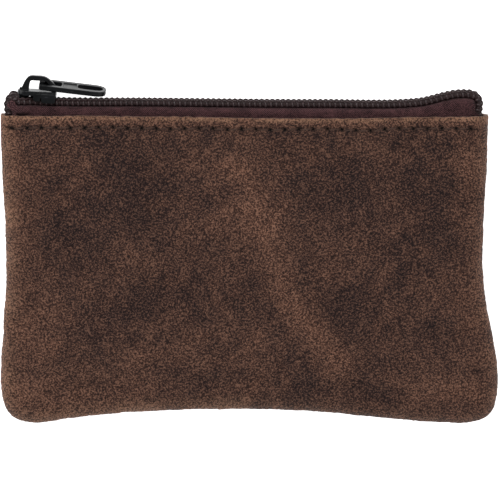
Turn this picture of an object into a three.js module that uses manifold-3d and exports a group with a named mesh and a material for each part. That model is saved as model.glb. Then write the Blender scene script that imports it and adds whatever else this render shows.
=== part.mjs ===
// A small turned leather pouch with a closed nylon coil zip along its mouth, lying flat on its back.
//
// Millimetres. +X runs along the zip, +Y points out of the mouth, +Z points out of the front.
// The origin is on the floor under the middle of the flat back.
// The two leather panels meet at the seam plane, which is also the middle plane of the zip.

import * as THREE from "three";
import { mergeVertices } from "three/addons/utils/BufferGeometryUtils.js";
import Module from "manifold-3d";

const wasm = await Module();
wasm.setup();

// ---- Driving dimensions: the leather body ----
const BODY_WIDTH = 117; // across the lower corners, the widest place
const BODY_HEIGHT = 73; // from the lower corners to the raw mouth edge
const LEATHER = 1.2; // thickness of one panel
const WAIST_Y = 38; // height of the narrowest place
const LEFT_WAIST_IN = 1.4; // how far each side stands in from the lower corners
const RIGHT_WAIST_IN = 3.8;
const LEFT_TOP_IN = 0.3;
const RIGHT_TOP_IN = 2.7;
const CORNER_SIDE = 10; // the lower corner's rounding, up its side
const CORNER_BASE = 9; // the same, along its base
const CORNER_CUT = 2.1; // how far the rounding cuts in at its middle
const BASE_RISE = 3.3; // the middle of the base, above the lower corners
const ROLL_PAST = 0.8; // the rolled front edge is this much wider than two layers of leather
const BOX_ROLL_MORE = 0.8; // the rolled edge of the back and of the mouth is this much wider still
const FRONT_CROWN = 1.8; // how much the front swells above that
const FRONT_CROWN_RUN = 26; // from the edge to the full swell
const MOUTH_ZONE = 9; // depth of the straight-sided mouth, which holds the zip
const MOUTH_BLEND = 19; // below it, the front goes over to its swell
const SEAM_GAP = 0.3; // between the two panels at the seam plane
const ALLOWANCE_PAST = 1.6; // the turned-in seam allowances reach this far past the seam thread
const ALLOWANCE_START = 0.72; // of the allowances, from the outer edge
const ALLOWANCE_TOP = 7.8; // they stop this far below the mouth edge

// ---- Driving dimensions: the zip ----
const PITCH = 1.25; // from tooth to tooth of one coil
const CHAIN_HALF = 2.1; // half the width of the closed chain
const TOOTH_REACH = 0.4; // how far a tooth passes the middle plane
const TOOTH_LENGTH = 0.42; // along the chain
const TOOTH_STEP = 0.04; // the teeth are this much thinner than the coil's back, above and below
const COIL_HEIGHT = 1.7;
const COIL_ROOT = 0.6; // from the middle plane to where the gaps between the teeth end
const COIL_LIFT = 0.2; // of the coil above its tape
const CORD = 0.3; // filler cord, square
const CORD_AT = 0.95; // middle of the cord, from the middle plane
const CORD_CLEAR = 0.12; // around the cord in its tunnel through the coil
const TAPE = 0.4; // thickness
const TAPE_DEPTH = 11; // below the mouth edge
const TAPE_INNER = 0.85; // from the middle plane to the tape's inner edge, in the closed chain
const CHAIN_LIFT = 1.4; // from the leather's mouth edge to the underside of the tape
const CHAIN_STRAIGHT_LEFT = -45; // where the straight chain starts and ends
const CHAIN_STRAIGHT_RIGHT = 38;
const RIGHT_HUMP = 2; // the chain's bulge at the right end
const LEFT_HUMP = 1.1; // the chain's bulge at the left end
const HUMP_INSET = 6.2; // from the right top corner to the top of its bulge
const END_DROP = 3.6; // how steeply the chain turns down at its ends
const COIL_END_INSET = 1.5; // from the leather's top corners to the ends of the coils
const TAPE_END_INSET = 2.3; // the same for the tapes
const TAPE_STRAIGHT = 4.5; // the tape runs along the leather for this much of its depth
const TAPE_FLARE = 6; // past the allowances, the tape stands away from the seam plane
const NOSE_LIFT = 0.3; // of the chain, where it leaves the tilted slider
const LEFT_END_SPREAD = 0.45; // share of the spread that is left at the left end
const SPREAD_START = 1.7; // from the slider's nose to where the coils begin to close

// ---- Driving dimensions: the slider and its puller ----
const SLIDER_LENGTH = 9.1;
const SLIDER_SIDE_INSET = 3.9; // from the leather's left top corner to the slider's nose
const SLIDER_TILT = 3; // degrees, nose up
const SLIDER_LIFT = 0.1; // of the slider's middle above the chain's
const SIDE_CLEAR = 0.4; // between the chain and each side flange
const CHANNEL_CLEAR = 0.77; // above and below the chain in the channel, together
const TOP_PLATE = 1.1;
const BASE_PLATE = 0.8;
const BASE_HALF = 1.75; // half the width of the lower plate
const PLATE_ROUND = 0.7;
const NOSE_HALF = 1.9; // half the width of the top plate's nose
const NOSE_RUN = 1.8; // the top plate widens over this length
const BASE_NOSE_HALF = 1.1;
const BASE_NOSE_RUN = 1.5;
const REAR_TAPER = 0.15;
const WEDGE_HALF = 0.65; // half the width of the wedge that parts the coils
const WEDGE_LENGTH = 2.4;
const WEDGE_INSET = 0.3; // from the nose to the wedge
const WEDGE_ROUND = 0.3;
const WEDGE_TIP_HALF = 0.15;
const FLANGE_WALL = 0.65;
const FLANGE_START = 3.8; // from the nose to the start of the side flanges
const FLANGE_DROP = 1.2; // below the top plate
const FLANGE_BEVEL = 0.4;
const REAR_FLANGE_LENGTH = 3.4;
const REAR_FLANGE_DROP = 0.35; // the rear of a flange reaches this much lower
const REAR_FLANGE_INSET = 0.1;
const FLANGE_NOTCH = 0.3; // width of the notch between a flange's front and rear
const FLANGE_NOTCH_DEPTH = 0.8;
const BAIL_TOP = 3.5; // of the arch above the top plate
const BAIL_WIDTH = 2;
const BAIL_STRAP = 1.15;
const BAIL_LEG = 1.85; // thickness of the arch's front leg, at its foot
const BAIL_FOOT_INSET = 0.8; // from the nose to the front leg
const BAIL_CREST_FROM = -1.3; // where the flat top of the arch starts and ends
const BAIL_CREST_TO = 0.6;
const LUG_INSET = 0.25; // from the nose to the small lug before the arch
const LUG_LENGTH = 0.85;
const LUG_RISE = 0.6;
const PULLER_LENGTH = 15.7;
const PULLER_WIDTH = 5.5;
const PULLER_THICK = 1.2;
const PULLER_RAIL = 1.3;
const EYE_BAR = 1.1;
const EYE_LENGTH = 4.2;
const WEB_LENGTH = 3.7;
const EYE_ROUND = 0.3;
const OVAL_END_WALL = 0.8; // of the puller past its oval hole
const WEB_RECESS = 0.25; // on both faces, between the rails
const WEB_MARGIN = 0.3;
const PULLER_AXIS_X = 1; // from the slider's middle
const PULLER_AXIS_LIFT = 1.45; // above the top plate
const PULLER_ROLL = 12; // degrees, its front rail hangs lower
const PULLER_CLEAR = 0.1; // between the resting puller and the chain

// ---- Driving dimensions: the threads ----
const STITCH = 3.37; // length of a topstitch
const STITCH_LINE = 2.7; // below the mouth edge
const STITCH_END_INSET = 4; // from the sides to the first and last needle hole
const SEAM_STITCH = 4;
const SEAM_END_INSET = 1.2; // from the ends of the seam thread to its end stitches
const LEG = 0.4; // width of a thread's leg in its needle hole
const SEAM_PULL = 0.8; // the seam lies one leather thickness inside the rolled edge, less this
const THREAD = 0.5;
const THREAD_CLEAR = 0.3; // around a thread in its needle hole
const THREAD_LIFT = 0.15; // between a thread and what it lies on
const COIL_THREAD = 0.25;
const COIL_THREAD_IN = 0.5; // from the coil's outer side
const COIL_THREAD_CLEAR = 0.15; // around it in its holes
const COIL_THREAD_LIFT = 0.08; // above the coil
const COIL_STITCH_TEETH = 8; // teeth from stitch to stitch
const COIL_LEG = 0.2; // width of this thread's legs in its holes
const CLEAR = 0.3; // between pieces that lie against each other
const CUT_PAST = 1; // a cutter reaches this far past what it cuts

// ---- Spacing of the lofted sections and of the panels' mesh lines ----
const END_STEP = 0.6; // along the chain before the slider's nose
const CLOSING_STEP = 0.5; // in the slider, where the coils close
const CLOSING_FROM = 0.7; // from the nose to the first section in the slider
const CLOSING_PAST = 0.4; // from the start of the flanges to the last of these
const STRAIGHT_STEP = 20;
const HUMP_STEP = 1.6;
const HUMP_FROM = 2; // from the straight chain to the first section in its right bulge
const CROWDING = 2.2; // how closely the mesh lines crowd at a panel's edge
const ACROSS_RUN = 22; // they crowd over this width, and over the next height
const UP_RUN = 20;
const MOUTH_ROOM = 0.04; // share of the height without mesh lines below the mouth zone

// ---- Derived sizes ----
const HALF = BODY_WIDTH / 2;
const FRONT_ROLL = 2 * LEATHER + ROLL_PAST; // width of the rolled front edge
const FRONT_ROLL_RISE = 2 * LEATHER + THREAD_LIFT + THREAD + CLEAR; // it clears the seam thread
const BOX_ROLL = FRONT_ROLL + BOX_ROLL_MORE;
const SEAM_LINE = FRONT_ROLL + LEATHER - SEAM_PULL; // from the outer edge to the seam thread
const ALLOWANCE = SEAM_LINE + ALLOWANCE_PAST;
const LEFT_TOP_X = -(HALF - LEFT_TOP_IN);
const RIGHT_TOP_X = HALF - RIGHT_TOP_IN;
const TAPE_FACE = BASE_HALF + CLEAR + TAPE; // outer face of a tape, from the middle plane
const LEATHER_FACE = TAPE_FACE + CLEAR; // inner face of the leather at the mouth
const SEAM_Z = LEATHER_FACE + LEATHER; // the seam plane above the floor
const BOX_RISE = SEAM_Z - SEAM_GAP / 2; // of the back, and of the front at the mouth
const TAPE_Y = BODY_HEIGHT + CHAIN_LIFT; // underside of the straight tape
const COIL_Y = TAPE_Y + TAPE + COIL_LIFT; // underside of the straight coil
const COIL_THREAD_AT = CHAIN_HALF - COIL_THREAD_IN; // from the middle plane
const CHAIN_THICK = TAPE + COIL_LIFT + COIL_HEIGHT + COIL_THREAD_LIFT + COIL_THREAD;
const SPREAD = WEDGE_HALF + CLEAR + TOOTH_REACH; // of each coil beside the wedge
const CHANNEL = CHAIN_THICK + CHANNEL_CLEAR; // clear height between the plates
const SLIDER_HALF = CHAIN_HALF + SIDE_CLEAR + FLANGE_WALL; // half the width of the top plate
const SLIDER_X = LEFT_TOP_X + SLIDER_SIDE_INSET + SLIDER_LENGTH / 2;
const SLIDER_Y = TAPE_Y + CHAIN_THICK / 2 + SLIDER_LIFT;
const NOSE_X = SLIDER_X - SLIDER_LENGTH / 2;
const SLIDER_REAR_X = SLIDER_X + SLIDER_LENGTH / 2;
const HUMP_X = RIGHT_TOP_X - HUMP_INSET;
const TILT = THREE.MathUtils.degToRad(SLIDER_TILT);
const PLATE_TOP = CHANNEL / 2 + TOP_PLATE;
const HOLE = LEG + 2 * THREAD_CLEAR;
const GROOVE = THREAD + 2 * THREAD_LIFT; // the topstitch lies sunk in the leather
const GROOVE_FLOOR = LEATHER_FACE + LEATHER - GROOVE;
const TOP_RUN = GROOVE_FLOOR + THREAD_LIFT;
const BOBBIN_RUN = TAPE_FACE - TAPE - THREAD_LIFT - THREAD;
const TOP_LEGS_END = BOBBIN_RUN + THREAD + THREAD_LIFT / 2;
const SEAM_RUN = SEAM_GAP / 2 + LEATHER + THREAD_LIFT;
const COIL_HOLE = COIL_THREAD + 2 * COIL_THREAD_CLEAR;
const ORIGIN_Y = BODY_HEIGHT / 2;

// ---- Solids ----

// A manifold solid from corner positions and triangles, turned the right way out.
function solidFrom(positions, triangles) {
  let volume = 0;
  for (let i = 0; i < triangles.length; i += 3) {
    const [a, b, c] = [0, 1, 2].map((k) => positions[triangles[i + k]]);
    volume += new THREE.Vector3(...a).dot(new THREE.Vector3(...b).cross(new THREE.Vector3(...c)));
  }
  const order = volume < 0 ? triangles.slice().reverse() : triangles;
  return new wasm.Manifold(
    new wasm.Mesh({
      numProp: 3,
      vertProperties: new Float32Array(positions.flat()),
      triVerts: new Uint32Array(order),
    }),
  );
}

function solidOf(geometry) {
  const bare = geometry.clone();
  bare.deleteAttribute("normal");
  bare.deleteAttribute("uv");
  const merged = mergeVertices(bare, 1e-5);
  const places = merged.getAttribute("position");
  const positions = [];
  for (let i = 0; i < places.count; i += 1) {
    positions.push([places.getX(i), places.getY(i), places.getZ(i)]);
  }
  return solidFrom(positions, Array.from(merged.getIndex().array));
}

function box(low, high) {
  const size = high.map((value, i) => value - low[i]);
  const geometry = new THREE.BoxGeometry(...size);
  geometry.translate(...low.map((value, i) => value + size[i] / 2));
  return solidOf(geometry);
}

// An outline of [x, y] points, extruded from one z to another.
function plate(outline, lowZ, highZ, holes = []) {
  const shape = new THREE.Shape(outline.map(([x, y]) => new THREE.Vector2(x, y)));
  shape.holes = holes.map((hole) => new THREE.Path(hole.map(([x, y]) => new THREE.Vector2(x, y))));
  const geometry = new THREE.ExtrudeGeometry(shape, { depth: highZ - lowZ, bevelEnabled: false });
  geometry.translate(0, 0, lowZ);
  return solidOf(geometry);
}

// A solid through rings of [x, y, z] points, one after another along the X axis.
function loft(rings) {
  const flat = rings[0].map(([, y, z]) => new THREE.Vector2(y, z));
  const turned = THREE.ShapeUtils.isClockWise(flat);
  const walk = turned ? rings.map((ring) => ring.slice().reverse()) : rings;
  const count = flat.length;
  const last = (walk.length - 1) * count;
  const triangles = [];
  for (let i = 0; i < last; i += count) {
    for (let j = 0; j < count; j += 1) {
      const [a, b] = [i + j, i + ((j + 1) % count)];
      triangles.push(a, b, a + count, b, b + count, a + count);
    }
  }
  const face = (ring) => ring.map(([, y, z]) => new THREE.Vector2(y, z));
  for (const [a, b, c] of THREE.ShapeUtils.triangulateShape(face(walk[0]), [])) {
    triangles.push(a, c, b);
  }
  for (const [a, b, c] of THREE.ShapeUtils.triangulateShape(face(walk[walk.length - 1]), [])) {
    triangles.push(last + a, last + b, last + c);
  }
  return solidFrom(walk.flat(), triangles);
}

function union(solids) {
  return solids.reduce((whole, next) => whole.add(next));
}

function mix(a, b, t) {
  return a + (b - a) * t;
}

function smooth(low, high, value) {
  return THREE.MathUtils.smoothstep(value, low, high);
}

// A quarter ellipse: 0 at the edge, 1 from `run` inwards.
function rolled(distance, run) {
  const t = Math.min(Math.max(distance / run, 0), 1);
  return Math.sqrt(1 - (1 - t) ** 2);
}

// ---- The outline of the leather ----

// One side, from the middle of its lower corner's rounding up to the mouth.
function sidePath(side, waistIn, topIn) {
  const edge = side * HALF;
  const waist = side * (HALF - waistIn);
  const top = side * (HALF - topIn);
  const corner = [edge - side * CORNER_CUT, CORNER_CUT];
  const path = new THREE.Path();
  path.moveTo(...corner);
  path.quadraticCurveTo(edge, CORNER_CUT * 2, edge, CORNER_SIDE);
  const below = (share) => mix(CORNER_SIDE, WAIST_Y, share);
  const above = (share) => mix(WAIST_Y, BODY_HEIGHT, share);
  path.bezierCurveTo(edge, below(0.35), waist, below(0.6), waist, WAIST_Y);
  path.bezierCurveTo(waist, above(0.35), top, above(0.7), top, BODY_HEIGHT);
  return path;
}

function basePath() {
  const foot = HALF - CORNER_BASE;
  const path = new THREE.Path();
  path.moveTo(-HALF + CORNER_CUT, CORNER_CUT);
  path.quadraticCurveTo(-HALF + CORNER_CUT * 2, 0, -foot, 0);
  path.bezierCurveTo(-foot * 0.94, 0, -foot * 0.77, BASE_RISE, 0, BASE_RISE);
  path.bezierCurveTo(foot * 0.4, BASE_RISE, foot * 0.74, 0, foot, 0);
  path.quadraticCurveTo(HALF - CORNER_CUT * 2, 0, HALF - CORNER_CUT, CORNER_CUT);
  return path;
}

const LEFT_PATH = sidePath(-1, LEFT_WAIST_IN, LEFT_TOP_IN);
const RIGHT_PATH = sidePath(1, RIGHT_WAIST_IN, RIGHT_TOP_IN);
const BASE_PATH = basePath();
const EDGE_SAMPLES = 110;
const EDGE_SLACK = 0.1; // a place nearer than this counts as on the edge
const EDGE = [
  ...LEFT_PATH.getSpacedPoints(EDGE_SAMPLES).reverse(),
  ...BASE_PATH.getSpacedPoints(EDGE_SAMPLES).slice(1),
  ...RIGHT_PATH.getSpacedPoints(EDGE_SAMPLES).slice(1),
];

// The place in the outline for u from side to side and v from base to mouth, a Coons patch.
function spot(u, v) {
  const base = BASE_PATH.getPointAt(u);
  const left = LEFT_PATH.getPointAt(v);
  const right = RIGHT_PATH.getPointAt(v);
  const corner = (a, b) => [LEFT_PATH, RIGHT_PATH][a].getPointAt(b);
  const blend = (axis) =>
    (1 - v) * base[axis] +
    v * mix(corner(0, 1)[axis], corner(1, 1)[axis], u) +
    mix(left[axis], right[axis], u) -
    mix(mix(corner(0, 0)[axis], corner(1, 0)[axis], u), mix(corner(0, 1)[axis], corner(1, 1)[axis], u), v);
  return [blend("x"), blend("y")];
}

// Distance to the sewn edge, and the direction straight away from it.
function fromEdge(x, y) {
  let best = { away: Infinity };
  for (let i = 0; i + 1 < EDGE.length; i += 1) {
    const [a, b] = [EDGE[i], EDGE[i + 1]];
    const along = b.clone().sub(a);
    const t = Math.min(Math.max(((x - a.x) * along.x + (y - a.y) * along.y) / along.lengthSq(), 0), 1);
    const away = new THREE.Vector2(x - mix(a.x, b.x, t), y - mix(a.y, b.y, t));
    if (away.length() < best.away) {
      const inward = new THREE.Vector2(-along.y, along.x).normalize();
      const inside = away.dot(inward) > EDGE_SLACK;
      best = {
        away: away.length(),
        distance: inside ? away.length() : 0,
        inward: inside ? away.clone().normalize() : inward,
      };
    }
  }
  return best;
}

// ---- The leather panels ----

// How far the outer face stands from the seam plane, less half the seam gap.
function frontRise(distance, y) {
  const crown = Math.sin((Math.min(distance / FRONT_CROWN_RUN, 1) * Math.PI) / 2);
  const body = FRONT_ROLL_RISE * rolled(distance, FRONT_ROLL) + FRONT_CROWN * crown;
  const mouthStart = BODY_HEIGHT - MOUTH_ZONE;
  return mix(body, backRise(distance), smooth(mouthStart - MOUTH_BLEND, mouthStart, y));
}

function backRise(distance) {
  return BOX_RISE * rolled(distance, BOX_ROLL);
}

// The direction out of the leather's face, in [x, y, rise].
function faceNormal(x, y, edge, rise) {
  const step = 0.02;
  const base = rise(edge.distance, y);
  const slope = (rise(edge.distance + step, y) - base) / step;
  const alongY = edge.distance > step ? (rise(edge.distance, y + step) - base) / step : 0;
  const n = new THREE.Vector3(-slope * edge.inward.x, -slope * edge.inward.y - alongY, 1);
  if (edge.distance < step) {
    n.set(-edge.inward.x, -edge.inward.y, 0);
  }
  return n.normalize();
}

// Shares of a length: close together near its edge, then even.
function stations(length, run, fine, coarse) {
  const near = [];
  for (let k = 0; k < fine; k += 1) {
    near.push((run / length) * (k / fine) ** CROWDING);
  }
  const rest = [];
  for (let k = 0; k <= coarse; k += 1) {
    rest.push(mix(run / length, 1, k / coarse));
  }
  return [...near, ...rest];
}

function acrossStations() {
  const half = stations(BODY_WIDTH / 2, ACROSS_RUN, 7, 2).map((share) => share / 2);
  return [...half, ...half.slice(0, -1).reverse().map((share) => 1 - share)];
}

function upStations() {
  const mouth = (BODY_HEIGHT - MOUTH_ZONE) / BODY_HEIGHT;
  return [...stations(BODY_HEIGHT, UP_RUN, 6, 5).filter((share) => share < mouth - MOUTH_ROOM), mouth, 1];
}

function shell(side, rise) {
  const us = acrossStations();
  const vs = upStations();
  const outer = [];
  const inner = [];
  vs.forEach((v) => {
    us.forEach((u) => {
      const [x, y] = spot(u, v);
      const edge = fromEdge(x, y);
      const height = rise(edge.distance, y);
      const n = faceNormal(x, y, edge, rise);
      const atMouth = v === 1;
      const at = (depth) => [
        x - depth * n.x,
        atMouth ? BODY_HEIGHT : y - depth * n.y,
        SEAM_Z + side * (SEAM_GAP / 2 + Math.max(height - depth * n.z, 0)),
      ];
      outer.push(at(0));
      inner.push(at(LEATHER));
    });
  });
  const across = us.length;
  const up = vs.length;
  const half = outer.length;
  const triangles = [];
  const quad = (a, b, c, d) => triangles.push(a, b, c, a, c, d);
  for (let j = 0; j + 1 < up; j += 1) {
    for (let i = 0; i + 1 < across; i += 1) {
      const a = j * across + i;
      quad(a, a + 1, a + across + 1, a + across);
      quad(half + a, half + a + across, half + a + across + 1, half + a + 1);
    }
  }
  const rim = [
    ...us.map((_, i) => i),
    ...vs.slice(1).map((_, j) => (j + 2) * across - 1),
    ...us.slice(1).map((_, i) => up * across - 2 - i),
    ...vs.slice(1, -1).map((_, j) => (up - 2 - j) * across),
  ];
  rim.forEach((a, k) => {
    const b = rim[(k + 1) % rim.length];
    quad(a, half + a, half + b, b);
  });
  return solidFrom([...outer, ...inner], triangles);
}

// The line at one inset from the sewn edge, from the left top down and round to the right top.
function insetLine(inset) {
  const [u, v] = [inset / BODY_WIDTH, inset / BODY_HEIGHT];
  const top = 1 - ALLOWANCE_TOP / BODY_HEIGHT;
  const legSteps = 12;
  const baseSteps = 24;
  const line = [];
  for (let k = 0; k < legSteps; k += 1) {
    line.push(spot(u, mix(top, v, k / legSteps)));
  }
  for (let k = 0; k < baseSteps; k += 1) {
    line.push(spot(mix(u, 1 - u, k / baseSteps), v));
  }
  for (let k = 0; k <= legSteps; k += 1) {
    line.push(spot(1 - u, mix(v, top, k / legSteps)));
  }
  return line;
}

// z of a place on the front (+1) or the back (-1), by its distance from the seam plane.
function across(side, distance) {
  return SEAM_Z + side * distance;
}

function layer(outline, side, near, far) {
  return plate(outline, ...[across(side, near), across(side, far)].sort((a, b) => a - b));
}

function allowance(side) {
  const outline = [...insetLine(ALLOWANCE_START), ...insetLine(ALLOWANCE).reverse()];
  const strip = layer(outline, side, SEAM_GAP / 2, SEAM_GAP / 2 + LEATHER);
  const inset = TAPE_END_INSET - CLEAR;
  const low = BODY_HEIGHT - TAPE_DEPTH - CLEAR;
  const depth = SEAM_GAP / 2 + TAPE + CLEAR;
  const pocket = box(
    [LEFT_TOP_X + inset, low, SEAM_Z - depth],
    [RIGHT_TOP_X - inset, BODY_HEIGHT, SEAM_Z + depth],
  );
  return strip.subtract(pocket);
}

// ---- Needle holes and threads ----

function evenly(low, high, step) {
  const count = Math.round((high - low) / step);
  return Array.from({ length: count + 1 }, (_, i) => mix(low, high, i / count));
}

const TOP_HOLES = evenly(LEFT_TOP_X + STITCH_END_INSET, RIGHT_TOP_X - STITCH_END_INSET, STITCH).map(
  (x) => [x, BODY_HEIGHT - STITCH_LINE],
);

function seamHoles() {
  const line = insetLine(SEAM_LINE).map(([x, y]) => new THREE.Vector3(x, y, 0));
  const path = new THREE.CurvePath();
  for (let i = 0; i + 1 < line.length; i += 1) {
    path.add(new THREE.LineCurve3(line[i], line[i + 1]));
  }
  const length = path.getLength();
  const runs = evenly(SEAM_END_INSET, length - SEAM_END_INSET, SEAM_STITCH);
  return runs.map((at) => path.getPointAt(at / length).toArray());
}

const SEAM_HOLES = seamHoles();

function posts(holes, side, near, far, width) {
  const [low, high] = [across(side, near), across(side, far)].sort((a, b) => a - b);
  const half = width / 2;
  return union(holes.map(([x, y]) => box([x - half, y - half, low], [x + half, y + half, high])));
}

// A band of one width along a line of points.
function band(line, width) {
  const left = [];
  const right = [];
  line.forEach(([x, y], i) => {
    const before = line[Math.max(i - 1, 0)];
    const after = line[Math.min(i + 1, line.length - 1)];
    const along = new THREE.Vector2(after[0] - before[0], after[1] - before[1]).normalize();
    const end = i === 0 ? -1 : Number(i === line.length - 1);
    const over = (end * width) / 2;
    const [cx, cy] = [x + along.x * over, y + along.y * over];
    left.push([cx - (along.y * width) / 2, cy + (along.x * width) / 2]);
    right.push([cx + (along.y * width) / 2, cy - (along.x * width) / 2]);
  });
  return [...right, ...left.reverse()];
}

// A bobbin thread runs straight on, on the inside.
function threadRun(holes, side, near) {
  return layer(band(holes, THREAD), side, near, near + THREAD);
}

// A needle thread: a straight run with a leg through everything at each needle hole, one comb.
function topstitch(side) {
  const [first, last] = [TOP_HOLES[0][0], TOP_HOLES[TOP_HOLES.length - 1][0]];
  const [near, far] = [TOP_RUN, TOP_RUN + THREAD];
  const outline = [
    [last + LEG / 2, far],
    [first - LEG / 2, far],
  ];
  for (const [x] of TOP_HOLES) {
    const [before, after] = [x - LEG / 2, x + LEG / 2];
    outline.push([before, near], [before, TOP_LEGS_END], [after, TOP_LEGS_END], [after, near]);
  }
  const middle = BODY_HEIGHT - STITCH_LINE;
  return plateAcross(
    outline.map(([x, w]) => [x, across(side, w)]),
    middle - THREAD / 2,
    middle + THREAD / 2,
  );
}

function bobbinThread(side) {
  return threadRun([TOP_HOLES[0], TOP_HOLES[TOP_HOLES.length - 1]], side, BOBBIN_RUN);
}

// The seam's needle thread lies on the front allowance and its legs reach through both allowances.
function seamNeedleThread() {
  const run = threadRun(SEAM_HOLES, 1, SEAM_RUN);
  return run.add(posts(SEAM_HOLES, 1, -SEAM_GAP / 2 - LEATHER, SEAM_RUN + THREAD / 2, LEG));
}

function seamBobbinThread() {
  return threadRun(SEAM_HOLES, -1, SEAM_RUN);
}

function leatherPanel(side, rise) {
  const far = LEATHER_FACE + LEATHER + CUT_PAST;
  const ends = [TOP_HOLES[0], TOP_HOLES[TOP_HOLES.length - 1]];
  const groove = layer(band(ends, THREAD + 2 * THREAD_CLEAR), side, GROOVE_FLOOR, far);
  return shell(side, rise)
    .add(allowance(side))
    .subtract(groove)
    .subtract(posts(TOP_HOLES, side, LEATHER_FACE - CUT_PAST, far, HOLE))
    .subtract(posts(SEAM_HOLES, side, 0, SEAM_GAP / 2 + LEATHER + THREAD_LIFT, HOLE));
}

// ---- The chain's run ----

// How much higher the chain lies here than along its straight run.
function chainLift(x) {
  const rightEnd = Math.max(x - HUMP_X, 0) / HUMP_INSET;
  const right = RIGHT_HUMP * smooth(CHAIN_STRAIGHT_RIGHT, HUMP_X, x) - END_DROP * rightEnd ** 3;
  const leftEnd = Math.max(NOSE_X - x, 0) / SLIDER_SIDE_INSET;
  const left = NOSE_LIFT * (1 - smooth(NOSE_X, SLIDER_REAR_X, x));
  const curl = LEFT_HUMP * Math.sin(Math.min(leftEnd * 1.6, 1) * Math.PI) - (END_DROP / 2) * leftEnd ** 3;
  return right + left + curl;
}

// How far each coil stands aside to pass the slider's wedge.
function chainSpread(x) {
  const wedge = SPREAD * (1 - smooth(NOSE_X + SPREAD_START, NOSE_X + FLANGE_START, x));
  return wedge * mix(1, LEFT_END_SPREAD, 1 - smooth(LEFT_TOP_X, NOSE_X, x));
}

// Places along X, close together where the chain bends.
function chainStations(endInset) {
  const low = LEFT_TOP_X + endInset;
  const high = RIGHT_TOP_X - endInset;
  return [
    ...evenly(low, NOSE_X, END_STEP),
    ...evenly(NOSE_X + CLOSING_FROM, NOSE_X + FLANGE_START + CLOSING_PAST, CLOSING_STEP),
    ...evenly(CHAIN_STRAIGHT_LEFT, CHAIN_STRAIGHT_RIGHT, STRAIGHT_STEP),
    ...evenly(CHAIN_STRAIGHT_RIGHT + HUMP_FROM, high, HUMP_STEP),
  ];
}

// A ring across the chain at x: [w, h] points, w from the middle plane and h from the coil's underside.
function chainRing(x, side, section) {
  const spread = chainSpread(x);
  return section.map(([w, h]) => [x, COIL_Y + chainLift(x) + h, across(side, w + spread)]);
}

function chainLoft(side, section, endInset) {
  return loft(chainStations(endInset).map((x) => chainRing(x, side, section)));
}

function rectangle(w1, w2, h1, h2) {
  return [
    [w1, h1],
    [w2, h1],
    [w2, h2],
    [w1, h2],
  ];
}

const COIL_HOLES = evenly(
  CHAIN_STRAIGHT_LEFT + PITCH,
  CHAIN_STRAIGHT_RIGHT - PITCH,
  PITCH * COIL_STITCH_TEETH,
);

function coilPosts(side, width, low, high) {
  const half = width / 2;
  const [near, far] = [COIL_THREAD_AT - half, COIL_THREAD_AT + half].map((w) => across(side, w));
  const [lowZ, highZ] = [Math.min(near, far), Math.max(near, far)];
  return union(COIL_HOLES.map((x) => box([x - half, low, lowZ], [x + half, high, highZ])));
}

// A coil is a comb along the chain's run; a tunnel through its back holds the filler cord.
function coil(side) {
  const low = LEFT_TOP_X + COIL_END_INSET + PITCH;
  const high = RIGHT_TOP_X - COIL_END_INSET - PITCH;
  const shift = side > 0 ? 0 : PITCH / 2;
  const tooth = rectangle(-TOOTH_REACH, COIL_ROOT + TOOTH_STEP, TOOTH_STEP, COIL_HEIGHT - TOOTH_STEP);
  const teeth = [];
  for (let x = low + shift; x < high; x += PITCH) {
    const ends = [x - TOOTH_LENGTH / 2, x + TOOTH_LENGTH / 2];
    teeth.push(loft(ends.map((end) => chainRing(end, side, tooth))));
  }
  return chainLoft(side, rectangle(COIL_ROOT, CHAIN_HALF, 0, COIL_HEIGHT), COIL_END_INSET)
    .subtract(cordLoft(side, CORD + 2 * CORD_CLEAR, 0))
    .add(union(teeth))
    .subtract(coilPosts(side, COIL_HOLE, TAPE_Y, COIL_Y + COIL_HEIGHT + CUT_PAST));
}

function cordLoft(side, width, endInset) {
  const half = width / 2;
  const middle = COIL_HEIGHT / 2;
  return chainLoft(side, rectangle(CORD_AT - half, CORD_AT + half, middle - half, middle + half), endInset);
}

function coilCord(side) {
  return cordLoft(side, CORD, COIL_END_INSET + CLEAR);
}

function coilThread(side) {
  const half = COIL_THREAD / 2;
  const low = COIL_HEIGHT + COIL_THREAD_LIFT;
  const section = rectangle(COIL_THREAD_AT - half, COIL_THREAD_AT + half, low, low + COIL_THREAD);
  const run = chainLoft(side, section, COIL_END_INSET + CLEAR);
  return run.add(coilPosts(side, COIL_LEG, TAPE_Y + TAPE / 4, COIL_Y + low + half));
}

// ---- The tapes ----

// Outer face of a tape below the fold, by its distance from the sides.
function tapeAtMouth(distance) {
  const room = (BOX_RISE - LEATHER) * rolled(distance - LEATHER, BOX_ROLL - LEATHER) + SEAM_GAP / 2;
  return Math.min(TAPE_FACE, room - CLEAR);
}

function tapeAtSeam(distance) {
  return mix(SEAM_GAP / 2 + TAPE, TAPE_FACE, smooth(ALLOWANCE + CLEAR, ALLOWANCE + TAPE_FLARE, distance));
}

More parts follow.
